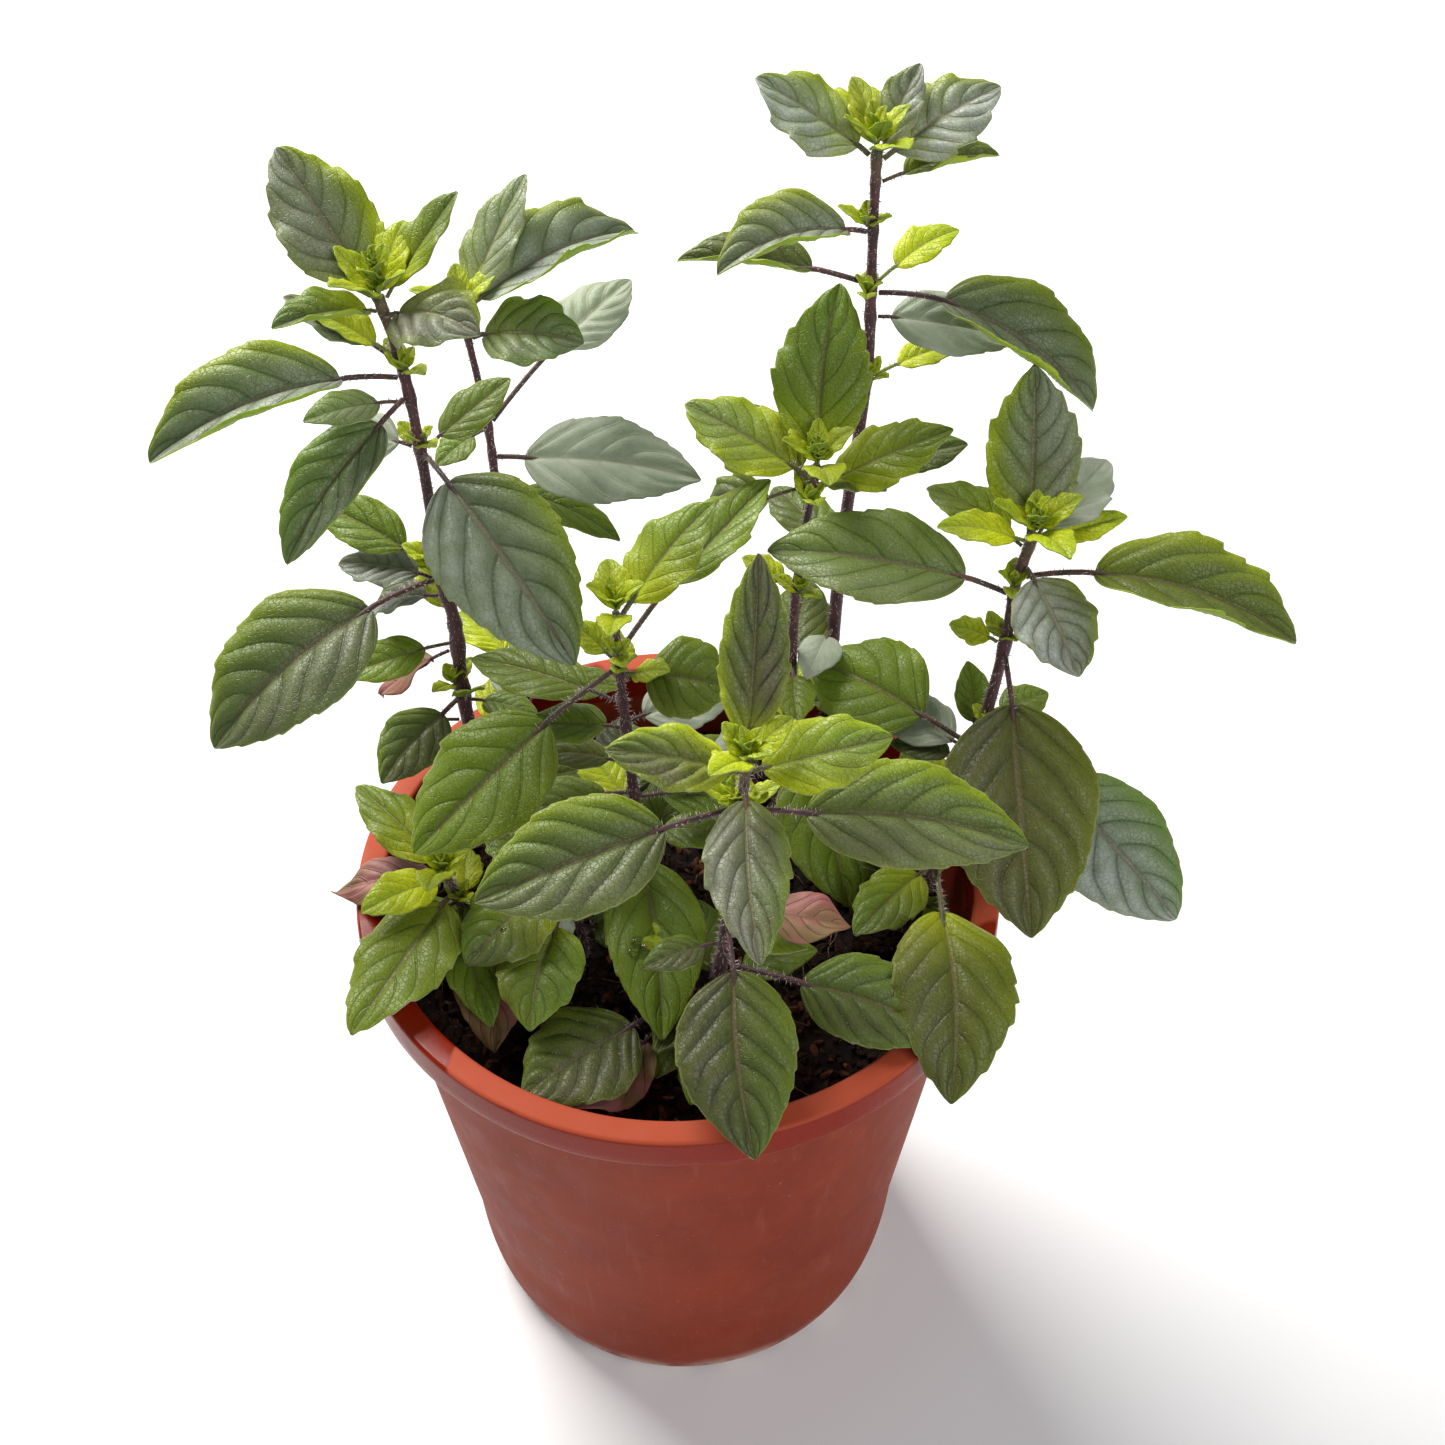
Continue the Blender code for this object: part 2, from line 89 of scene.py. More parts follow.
# Leaves of each stem: height of the joint, heading, rise of the chord, length with stalk, blade
# width, stalk length, arch (degrees of droop), roll about the chord, fold of the two halves, finish
LEAVES = rows_with_stem({
    "stem_left": {
        "leaf_left_top_back": (280, 135, 40, 40, 22, 4, 25, -15, 16, "deep"),
        "leaf_left_top_front": (278, -35, 12, 27, 20, 3, 50, 15, 12, "purple"),
        "leaf_left_upper_back": (267, 160, 22, 28, 12, 6, 20, 0, 12, "purple"),
        "leaf_left_upper_outer": (263, -155, -5, 58, 24, 13, 65, -15, 34, "deep"),
        "leaf_left_drooping": (258, -130, -30, 46, 19, 8, 40, -15, 22, "deep"),
        "leaf_left_large_front": (244, -53, -20, 64, 30, 14, 85, 20, 12, "deep"),
        "leaf_left_large_outer": (210, -141, -15, 66, 32, 18, 70, -15, 20, "deep"),
        "leaf_left_lowest": (175, -125, -10, 30, 16, 6, 30, -20, 12, "deep"),
    },
    "stem_left_rear": {
        "leaf_left_rear_large": (254, 35, 5, 50, 25, 4, 60, 15, 32, "deep"),
        "leaf_left_rear_short": (248, -10, 4, 28, 21, 3, 60, 15, 20, "deep"),
        "leaf_left_rear_pale": (227, 45, 22, 52, 18, 24, 30, 10, 12, "pale"),
        "leaf_left_rear_inner": (219, -10, 0, 52, 24, 7, 25, 25, 12, "pale"),
    },
    "stem_centre": {
        "leaf_centre_top": (225, 40, 35, 33, 18, 4, 20, 0, 12, "green"),
        "leaf_centre_rear": (215, 45, 25, 53, 16, 18, 25, 0, 28, "green"),
        "leaf_centre_right": (208, -10, 0, 26, 21, 5, 30, 20, 12, "green"),
        "leaf_centre_large": (210, -140, -20, 62, 29, 20, 30, -10, 12, "green"),
        "leaf_centre_low": (155, -83, -7, 59, 24, 10, 25, 0, 12, "green"),
    },
    "stem_front": {
        "leaf_front_up": (231, 85, 50, 42, 14, 4, 15, 0, 12, "purple"),
        "leaf_front_left": (228, 180, 14, 28, 15, 2, 25, -15, 12, "purple"),
        "leaf_front_right": (228, 10, 10, 30, 17, 2, 25, 15, 12, "green"),
        "leaf_front_down": (224, -86, -10, 41, 17, 3, 25, 0, 12, "purple"),
        "leaf_front_large_left": (216, -160, -7, 58, 25, 16, 40, -25, 20, "deep"),
        "leaf_front_large_right": (215, -5, -5, 60, 24, 12, 35, 25, 20, "deep"),
        "leaf_front_hanging": (172, -83, -22, 52, 27, 10, 30, 0, 12, "deep"),
        "leaf_front_lower_right": (155, -20, -3, 55, 22, 18, 35, 15, 12, "deep"),
        "leaf_front_lower_left": (142, -144, 1, 53, 28, 22, 30, 0, 8, "deep"),
    },
    "stem_front_low": {
        "leaf_front_low_two_tone": (155, -100, -5, 38, 20, 10, 30, 0, 12, "green"),
    },
    "stem_left_low": {
        "leaf_front_low_withered": (140, -78, -6, 38, 18, 4, 20, 0, 12, "withered"),
        "leaf_left_low_back": (161, 135, 10, 33, 14, 3, 25, 0, 12, "green"),
        "leaf_left_low_purple": (158, 175, -15, 29, 14, 3, 25, 0, 12, "withered"),
        "leaf_left_low_outer": (153, -115, 0, 46, 23, 4, 40, 0, 12, "green"),
        "leaf_left_low_front": (152, -72, -20, 34, 14, 3, 35, 0, 12, "green"),
    },
    "stem_rear": {
        "leaf_rear_up": (238, 79, 50, 43, 22, 3, 20, 0, 12, "green"),
        "leaf_rear_left": (236, 155, 20, 34, 19, 4, 30, -15, 12, "green"),
        "leaf_rear_right": (234, 5, 26, 34, 16, 4, 25, 20, 12, "green"),
    },
    "stem_tall": {
        "leaf_tall_top_left": (304, 165, 30, 30, 19, 3, 25, -20, 12, "deep"),
        "leaf_tall_top_right": (303, 20, 25, 30, 19, 3, 25, 20, 12, "deep"),
        "leaf_tall_left": (287, -160, -5, 36, 20, 5, 65, -15, 32, "deep"),
        "leaf_tall_lower_left": (275, 175, 5, 43, 16, 12, 30, -10, 30, "deep"),
        "leaf_tall_arching_right": (273, -16, -23, 57, 26, 14, 85, 15, 30, "deep"),
    },
    "stem_right": {
        "leaf_right_up": (237, 90, 58, 39, 21, 3, 20, 0, 12, "deep"),
        "leaf_right_front": (232, -65, -25, 28, 20, 3, 30, 0, 12, "purple"),
        "leaf_right_far": (229, -15, -5, 62, 24, 15, 75, 15, 28, "deep"),
        "leaf_right_inner": (224, 170, 5, 56, 25, 10, 45, -15, 22, "green"),
        "leaf_right_largest": (208, -85, -35, 66, 37, 12, 30, 0, 12, "deep"),
        "leaf_right_lower": (182, -42, -20, 62, 29, 20, 70, 15, 12, "deep"),
        "leaf_right_lower_inner": (178, 145, 5, 46, 28, 13, 30, -20, 12, "green"),
    },
    "stem_right_low": {
        "leaf_right_low_overhang": (156, -90, -9, 65, 28, 20, 70, 0, 12, "deep"),
    },
})

# Leaves too small for a CAD solid of their own, in the same columns
SMALL_LEAVES = rows_with_stem({
    "stem_left": {
        "small_left_top_upright": (281, 35, 45, 28, 12, 3, 15, 0, 25, "green"),
        "small_left_top_side": (279, -145, 12, 25, 13, 2, 45, -10, 25, "deep"),
        "small_left_young_side": (268, 165, 25, 20, 10, 4, 20, -10, 20, "young"),
        "small_left_upper_inner": (257, -150, 8, 24, 11, 6, 30, -10, 15, "green"),
        "small_left_node_right": (244, 30, 28, 25, 12, 4, 20, 10, 12, "green"),
        "small_left_node_left": (245, 178, 12, 19, 15, 3, 30, -10, 12, "pale"),
        "small_left_middle_back": (212, 155, 15, 34, 14, 8, 30, -15, 18, "green"),
        "small_left_middle_dark": (209, 172, 5, 24, 15, 4, 35, 0, 15, "purple"),
        "small_left_middle_curled": (204, 170, -25, 20, 12, 3, 50, 0, 25, "purple"),
        "small_left_lower_back": (191, -160, -5, 27, 12, 6, 25, -15, 15, "green"),
        "small_left_lower_purple": (188, 175, -42, 26, 12, 6, 20, 0, 15, "withered"),
        "small_left_lower_bright": (196, 118, 35, 20, 11, 3, 20, 0, 15, "young"),
        "small_left_foot_young": (176, -70, 50, 14, 8, 2, 20, 0, 15, "young"),
    },
    "stem_left_rear": {
        "small_left_rear_top": (254, 58, 40, 36, 14, 4, 20, 0, 20, "green"),
        "small_left_rear_node": (226, -140, -15, 15, 10, 3, 30, 0, 15, "green"),
        "small_left_rear_under": (212, -15, -20, 33, 13, 5, 30, 0, 15, "green"),
        "small_left_rear_low": (182, -60, -10, 32, 16, 6, 30, 0, 12, "green"),
    },
    "stem_centre": {
        "small_centre_low_back": (198, 155, -2, 40, 17, 8, 25, 0, 12, "green"),
        "small_centre_low_left": (190, 172, -5, 24, 14, 3, 25, 0, 12, "green"),
        "small_centre_pale": (192, 25, 0, 27, 16, 3, 25, 10, 12, "pale"),
        "small_centre_node_left": (212, 150, 30, 13, 8, 2, 15, 0, 15, "young"),
        "small_centre_node_right": (208, -20, 25, 12, 8, 2, 15, 0, 15, "young"),
        "small_centre_foot_left": (168, -165, 0, 30, 16, 5, 25, 0, 12, "deep"),
        "small_centre_foot_right": (166, 5, -5, 30, 16, 5, 25, 0, 12, "green"),
        "small_centre_foot_back": (160, 100, 0, 32, 17, 5, 25, 0, 12, "deep"),
    },
    "stem_front": {
        "small_front_low_right": (178, -10, 0, 26, 14, 5, 30, 0, 12, "withered"),
        "small_front_foot_left": (139, -120, -2, 26, 11, 6, 25, 0, 12, "green"),
        "small_front_foot_front": (137, -100, 0, 30, 11, 8, 25, 0, 12, "green"),
        "small_front_foot_pink": (135, -137, 4, 50, 24, 20, 20, 0, 10, "withered"),
    },
    "stem_front_low": {
        "small_front_low_dark": (161, -135, -12, 30, 22, 3, 35, 0, 12, "deep"),
        "small_front_low_back": (158, 140, 5, 26, 15, 4, 25, 0, 12, "green"),
    },
    "stem_left_low": {
        "small_left_low_young": (159, -145, 8, 22, 12, 2, 30, -10, 15, "young"),
    },
    "stem_right_low": {
        "small_right_low_front": (153, -132, 0, 29, 15, 4, 30, -5, 12, "green"),
        "small_right_low_back": (152, 150, 5, 24, 12, 4, 25, 0, 12, "green"),
    },
    "stem_rear": {
        "small_rear_folded": (234, 178, -30, 28, 17, 9, 35, -20, 30, "purple"),
        "small_rear_behind": (236, 130, 20, 24, 10, 3, 25, 0, 15, "deep"),
        "small_rear_inner": (168, -71, -30, 50, 26, 12, 30, 0, 12, "green"),
        "small_rear_arch": (234, -10, 5, 16, 9, 2, 60, 0, 25, "deep"),
        "small_rear_node": (206, 150, 15, 14, 8, 2, 30, 0, 15, "young"),
        "small_rear_low_back": (182, 80, 5, 30, 15, 5, 30, 0, 12, "deep"),
    },
    "stem_tall": {
        "small_tall_top_upright": (304, 55, 45, 21, 11, 2, 15, 0, 22, "deep"),
        "small_tall_top_under": (298, 12, 8, 27, 14, 5, 30, 10, 25, "deep"),
        "small_tall_node_right": (275, 25, 22, 22, 10, 5, 35, 10, 22, "young"),
        "small_tall_node_pale": (267, -4, -8, 34, 19, 3, 30, 15, 15, "pale"),
        "small_tall_middle_right": (252, 20, 8, 22, 8, 6, 30, 10, 20, "young"),
        "small_tall_lower_right": (227, 10, 12, 27, 12, 7, 30, 10, 18, "deep"),
        "small_tall_low_back": (205, 120, 0, 30, 15, 5, 30, 0, 12, "deep"),
    },
    "stem_right": {
        "small_right_behind": (238, 45, 20, 26, 16, 3, 35, 0, 15, "pale"),
        "small_right_back_left": (236, 145, 12, 26, 13, 4, 30, -10, 15, "green"),
        "small_right_young_left": (238, 175, 8, 20, 9, 2, 25, -10, 22, "young"),
        "small_right_young_right": (238, 12, 10, 21, 9, 2, 25, 10, 22, "young"),
        "small_right_node_left": (210, 165, 15, 12, 9, 2, 30, 0, 12, "young"),
        "small_right_node_right": (211, -5, 15, 10, 9, 2, 30, 0, 12, "young"),
        "small_right_low_upright": (180, 100, 50, 18, 9, 3, 15, 0, 20, "green"),
        "small_right_low_pale": (186, 25, 10, 16, 11, 3, 25, 0, 15, "green"),
        "small_right_low_left": (176, 142, 0, 28, 17, 4, 30, 0, 12, "pale"),
    },
})

# Leaves whose near half rolls up and over at the margin and shows its underside: degrees of roll
CURLED = {
    "leaf_left_upper_outer": 115, "leaf_left_rear_large": 110, "leaf_tall_left": 110,
    "leaf_tall_lower_left": 120, "leaf_tall_arching_right": 115, "leaf_right_far": 95,
    "small_tall_top_under": 115, "small_left_top_side": 110, "small_left_young_side": 80,
    "leaf_left_drooping": 60, "small_rear_folded": 70,
}
CURL_START = 0.38  # where the roll begins, as a share of the half width

# Colour of single leaves: sheen_and_bloom is a grey coat on the crests, partly the leaf's own waxy
# bloom and partly painted sheen, more on the half nearer the front; edge the yellow-green of the margins,
# shade a lighter or darker green, two_tone how far one half's shade stands off the other's
TONES = {
    "leaf_left_upper_outer": {"sheen_and_bloom": 0.60, "edge": 0.20, "shade": 0.15},
    "leaf_left_top_back": {"sheen_and_bloom": 0.45, "edge": 0.30},
    "leaf_left_top_front": {"sheen_and_bloom": 0.35, "edge": 0.25},
    "leaf_left_upper_back": {"sheen_and_bloom": 0.45, "edge": 0.30},
    "leaf_left_rear_large": {"sheen_and_bloom": 1.0, "edge": 0.15, "shade": 0.20},
    "leaf_left_rear_short": {"sheen_and_bloom": 0.20, "shade": 0.25},
    "leaf_left_drooping": {"sheen_and_bloom": 0.20, "shade": 0.25},
    "leaf_left_large_front": {"sheen_and_bloom": 0.60, "edge": 0.10, "shade": 0.05},
    "leaf_left_large_outer": {"sheen_and_bloom": 0.10, "edge": 0.06, "shade": -0.10},
    "leaf_left_low_outer": {"shade": -0.30},
    "leaf_front_low_two_tone": {"two_tone": 0.45},
    "leaf_front_large_left": {"sheen_and_bloom": 0.10, "edge": 0.08, "shade": -0.10},
    "leaf_front_large_right": {"sheen_and_bloom": 0.15, "edge": 0.10},
    "leaf_front_left": {"edge": 0.40},
    "leaf_front_right": {"edge": 0.30},
    "leaf_front_up": {"edge": 0.25},
    "leaf_front_down": {"sheen_and_bloom": 0.30, "shade": -0.15},
    "leaf_front_hanging": {"shade": -0.10},
    "leaf_rear_left": {"sheen_and_bloom": 0.15, "edge": 0.25},
    "leaf_rear_right": {"edge": 0.20},
    "leaf_tall_top_left": {"sheen_and_bloom": 0.85, "edge": 0.20, "shade": 0.15},
    "leaf_tall_top_right": {"sheen_and_bloom": 0.95, "edge": 0.15, "shade": 0.15},
    "leaf_tall_left": {"sheen_and_bloom": 0.75, "edge": 0.15},
    "leaf_tall_arching_right": {"sheen_and_bloom": 0.30, "edge": 0.10, "shade": 0.15},
    "leaf_right_up": {"sheen_and_bloom": 0.35, "edge": 0.20, "shade": 0.10},
    "leaf_right_front": {"sheen_and_bloom": 1.0, "edge": 0.10, "shade": 0.25},
    "leaf_right_inner": {"sheen_and_bloom": 0.20, "shade": -0.10},
    "leaf_right_far": {"edge": 0.15},
    "leaf_right_lower": {"sheen_and_bloom": 1.0, "shade": 0.40},
    "leaf_right_largest": {"shade": -0.30},
    "leaf_right_low_overhang": {"shade": -0.35},
    "small_left_rear_top": {"sheen_and_bloom": 0.70},
    "small_left_upper_inner": {"sheen_and_bloom": 0.40},
    "small_left_middle_dark": {"sheen_and_bloom": 0.60},
    "small_left_middle_curled": {"sheen_and_bloom": 0.60},
    "small_rear_folded": {"sheen_and_bloom": 0.40},
    "small_tall_top_upright": {"sheen_and_bloom": 0.60},
}

# Leafy side growth low on the stems: stem, number of leaves, lowest, highest, first heading, longest
LOW_GROWTH = (
    ("stem_centre", 7, 142, 178, 70, 28), ("stem_left", 6, 142, 174, 10, 27),
    ("stem_left_rear", 7, 142, 184, 80, 28), ("stem_rear", 8, 140, 184, 30, 29),
    ("stem_tall", 6, 142, 196, 60, 27), ("stem_right", 7, 138, 174, 60, 26),
    ("stem_front", 8, 136, 170, 100, 25), ("stem_front_low", 5, 134, 150, 60, 21),
    ("stem_left_low", 5, 134, 149, 40, 21), ("stem_right_low", 7, 134, 150, 20, 23),
)

SHORTEST_LOW_LEAF = 9
RIM_CLEARANCE = 3  # kept between this growth and the pot

# Water on the leaves: leaf, place along and across the blade, size
LEAF_DROPS = (
    ("leaf_centre_low", 0.50, -0.40, 1.7), ("leaf_centre_low", 0.53, -0.20, 1.9),
    ("leaf_centre_low", 0.55, -0.50, 1.5), ("leaf_centre_low", 0.49, -0.05, 1.3),
    ("leaf_centre_low", 0.57, -0.30, 1.3),
    ("small_front_low_dark", 0.55, 0.1, 0.8), ("small_front_low_dark", 0.42, -0.3, 0.6),
    ("leaf_right_inner", 0.30, 0.2, 0.5),
)

# Shoot tips: stem, size of the outer pair, heading of the outer pair
SHOOT_TIPS = (
    ("stem_left", 19, 60), ("stem_left_rear", 13, 20), ("stem_centre", 15, 100), ("stem_front", 15, 45),
    ("stem_front_low", 10, 30), ("stem_left_low", 15, 75), ("stem_rear", 17, 95), ("stem_tall", 17, 110),
    ("stem_right", 19, 100), ("stem_right_low", 13, 60),
)

# Height of the young flower spike inside a tip
SPIKES = {"stem_left": 10, "stem_rear": 6, "stem_right": 5}

# Young shoots in the angle of a leaf: stem, height, heading, size
SIDE_SHOOTS = (
    ("stem_left", 264, -60, 9), ("stem_left", 243, 110, 9), ("stem_left", 211, 140, 11),
    ("stem_left", 210, -40, 8), ("stem_left", 178, -150, 9), ("stem_centre", 214, -100, 8),
    ("stem_centre", 208, 60, 8), ("stem_front", 215, -90, 8), ("stem_front", 216, 170, 9),
    ("stem_front", 216, 0, 9), ("stem_tall", 287, 150, 8), ("stem_tall", 272, -120, 8),
    ("stem_tall", 252, -60, 7), ("stem_right", 209, 100, 8), ("stem_right", 186, -60, 7),
    ("stem_right", 226, -120, 8), ("stem_rear", 230, -90, 9), ("stem_rear", 205, -60, 8),
    ("stem_left_low", 150, -60, 7), ("stem_front_low", 148, -40, 7),
)

# Leaf outline, veins and relief
BASE_POWER = 0.66  # how fast the blade widens from its base
TIP_POWER = 0.95  # how fast it narrows to its tip
VEIN_PAIRS = 6
VEIN_SWEEP = 0.33  # how far a side vein runs forward on its way to the margin, as a share of the blade
VEIN_BOW = 1.35
VEIN_STAGGER = 0.09  # the two sides' veins leave the midrib a little apart
VEIN_WANDER = 0.026  # how far side veins stray from even spacing, as a share of the blade
ROWS_PER_MM = 1.9
TOOTH_PITCH = 4.2
TOOTH_PEAK = 0.76  # where a tooth's tip stands along its pitch
COARSE_TOOTH = 2.1  # a coarse tooth's size to a usual one's
TOOTH_INSET = 7  # power that keeps the teeth to the margin

# Relief of a blade, as shares of its width
PILLOW_HEIGHT = 0.051  # swellings between the side veins
TOOTH_DEPTH = 0.020
MARGIN_DROOP = 0.09
MIDRIB_GROOVE = 0.024
MARGIN_RIPPLE = 0.030
COARSE_RIPPLE = 0.055
CRUMPLE = 0.10  # of a withered blade

LARGEST_TWIST = 9  # degrees from a blade's base to its tip
LARGEST_SWAY = 0.04  # of a blade to one side, as a share of its length
LEAF_THICKNESS = 0.28
STALK_RADIUS = 0.65
MIDRIB_END = 0.93  # where the midrib's rib runs out, as a share of the leaf's length
HAIR_LENGTH = 1.5
HAIR_RADIUS = 0.09
NODE_SWELL = 0.28  # of a stem at its joints, as a share of its radius
MOST_SWELL = 0.35
NODE_LENGTH = 1.8
STEM_HAIRS_PER_MM = 7.5
STALK_HAIRS_PER_MM = 4.0
TIP_SEED = 500
SIDE_SHOOT_SEED = 700
STEM_SEED = 900
THIRDS_OF_TURN = (0.0, 2 * math.pi / 3, 4 * math.pi / 3)

# Tint of each finish: brightness, purple share, yellow share
FINISH_TINTS = {
    "deep": (0.22, 0.30, 0.04),
    "green": (0.50, 0.06, 0.10),
    "purple": (0.35, 0.85, 0.0),
    "young": (0.85, 0.0, 0.88),
    "pale": (0.75, 0.35, 0.08),
    "withered": (0.5, 0.5, 0.0),
}
RELIEF_OF_FINISH = {"deep": 0.9, "green": 0.55, "purple": 1.25, "young": 0.9, "pale": 0.8, "withered": 0.8}
SLOT_OF_FINISH = {
    "deep": "leaf_dark", "green": "leaf_green", "purple": "leaf_purple",
    "young": "leaf_green", "pale": "leaf_green", "withered": "leaf_withered",
}


# ---------------------------------------------------------------- material helpers

class Nodes:
    """Short calls for building one material's node tree."""

    def __init__(self, name):
        self.material = bpy.data.materials.new(name)
        self.material.use_nodes = True
        self.tree = self.material.node_tree
        self.shader = self.tree.nodes["Principled BSDF"]

    def link(self, source, target):
        self.tree.links.new(source, target)

    def new(self, kind, **settings):
        node = self.tree.nodes.new(kind)
        for key, value in settings.items():
            setattr(node, key, value)
        return node

    def put(self, value, socket):
        if isinstance(value, bpy.types.NodeSocket):
            self.link(value, socket)
        else:
            socket.default_value = value

    def math(self, operation, first, second=0.0, third=0.0):
        node = self.new("ShaderNodeMath", operation=operation)
        for value, socket in zip((first, second, third), node.inputs):
            self.put(value, socket)
        return node.outputs[0]

    def ramp(self, value, low, high, start=0.0, end=1.0):
        """Smooth step of a value from low..high onto start..end."""
        node = self.new("ShaderNodeMapRange", interpolation_type="SMOOTHSTEP")
        for item, socket in zip((value, low, high, start, end), node.inputs):
            self.put(item, socket)
        return node.outputs[0]

    def mix(self, share, first, second, blend="MIX"):
        node = self.new("ShaderNodeMix", data_type="RGBA", blend_type=blend)
        self.put(share, node.inputs["Factor"])
        self.put(first, node.inputs["A"])
        self.put(second, node.inputs["B"])
        return node.outputs["Result"]

    def times(self, first, second):
        return self.math("MULTIPLY", first, second)

    def stain(self, colour, mask, strength, over):
        """A colour with another laid over it where the mask is."""
        return self.mix(self.times(mask, strength), colour, over)

    def noise(self, scale, detail=3.0, roughness=0.55, coordinates=None, distortion=0.0):
        node = self.new("ShaderNodeTexNoise")
        node.inputs["Scale"].default_value = scale
        node.inputs["Detail"].default_value = detail
        node.inputs["Roughness"].default_value = roughness
        node.inputs["Distortion"].default_value = distortion
        self.link(coordinates or self.place(), node.inputs["Vector"])
        return node.outputs["Fac"]

    def place(self):
        """Object coordinates, which here are the row frame's, in metres."""
        return self.new("ShaderNodeTexCoord").outputs["Object"]

    def stretched(self, scale):
        node = self.new("ShaderNodeMapping")
        node.inputs["Scale"].default_value = scale
        self.link(self.place(), node.inputs["Vector"])
        return node.outputs["Vector"]

    def bump(self, height, distance, strength=1.0):
        node = self.new("ShaderNodeBump")
        node.inputs["Distance"].default_value = distance
        node.inputs["Strength"].default_value = strength
        self.link(height, node.inputs["Height"])
        self.link(node.outputs["Normal"], self.shader.inputs["Normal"])

    def set(self, **values):
        for name, value in values.items():
            self.put(value, self.shader.inputs[name.replace("_", " ")])


def leaf_coordinates(n):
    """Across (0 at the midrib, 1 at the margin), side and along, from the blade's own map."""
    split = n.new("ShaderNodeSeparateXYZ")
    n.link(n.new("ShaderNodeUVMap", uv_map="blade").outputs["UV"], split.inputs[0])
    signed = n.math("MULTIPLY_ADD", split.outputs["X"], 2.0, -1.0)
    return n.math("ABSOLUTE", signed), n.math("SIGN", signed), split.outputs["Y"]


def vein_mask(n, across, side, along):
    """1 on the midrib and the side veins, 0 between them; the midrib alone; and 1 on the pillows' crests."""
    ahead = n.times(n.math("POWER", across, VEIN_BOW), VEIN_SWEEP)
    phase = n.times(n.math("SUBTRACT", along, ahead), float(VEIN_PAIRS))
    phase = n.math("MULTIPLY_ADD", side, VEIN_STAGGER, phase)
    off_vein = n.math("PINGPONG", phase, 0.5)
    side_vein = n.ramp(off_vein, 0.01, 0.085, 1.0, 0.0)
    side_vein = n.times(side_vein, n.ramp(across, 0.72, 0.98, 1.0, 0.2))
    midrib = n.ramp(across, 0.02, 0.075, 1.0, 0.0)
    crest = n.times(n.ramp(off_vein, 0.1, 0.42), n.ramp(across, 0.75, 1.0, 1.0, 0.0))
    return n.math("MAXIMUM", side_vein, midrib), midrib, crest


def net_veins(n):
    """Fine net of the smallest veins."""
    cells = n.new("ShaderNodeTexVoronoi", feature="DISTANCE_TO_EDGE")
    cells.inputs["Scale"].default_value = NET_SCALE
    n.link(n.place(), cells.inputs["Vector"])
    return n.ramp(cells.outputs["Distance"], 0.0, 0.09, 1.0, 0.0)


def tint_parts(n):
    split = n.new("ShaderNodeSeparateColor")
    layer = n.new("ShaderNodeVertexColor", layer_name="tint")
    n.link(layer.outputs["Color"], split.inputs[0])
    return split.outputs[0], split.outputs[1], split.outputs[2], layer.outputs["Alpha"]


# Colours of a leaf's upper side
DARKEST_GREEN = (0.034, 0.046, 0.002, 1)
DARK_GREEN = (0.056, 0.078, 0.003, 1)
LIGHT_GREEN = (0.088, 0.212, 0.008, 1)
YOUNG_YELLOW = (0.62, 0.68, 0.005, 1)
DARK_PURPLE = (0.080, 0.056, 0.046, 1)
LIGHT_PURPLE = (0.130, 0.096, 0.080, 1)
SHEEN_AND_BLOOM_GREY = (0.40, 0.43, 0.40, 1)
CREST_HIGHLIGHT_GREEN = (0.20, 0.25, 0.035, 1)
VEIN_DARK = (0.026, 0.038, 0.006, 1)
VEIN_YOUNG = (0.34, 0.44, 0.01, 1)
MIDRIB_BROWN = (0.15, 0.11, 0.06, 1)
MIDRIB_YOUNG = (0.42, 0.50, 0.06, 1)
MIDRIB_GREY = (0.32, 0.29, 0.22, 1)
NET_DARK = (0.014, 0.022, 0.003, 1)
MARGIN_PALE = (0.30, 0.33, 0.10, 1)
NET_SCALE = 900.0


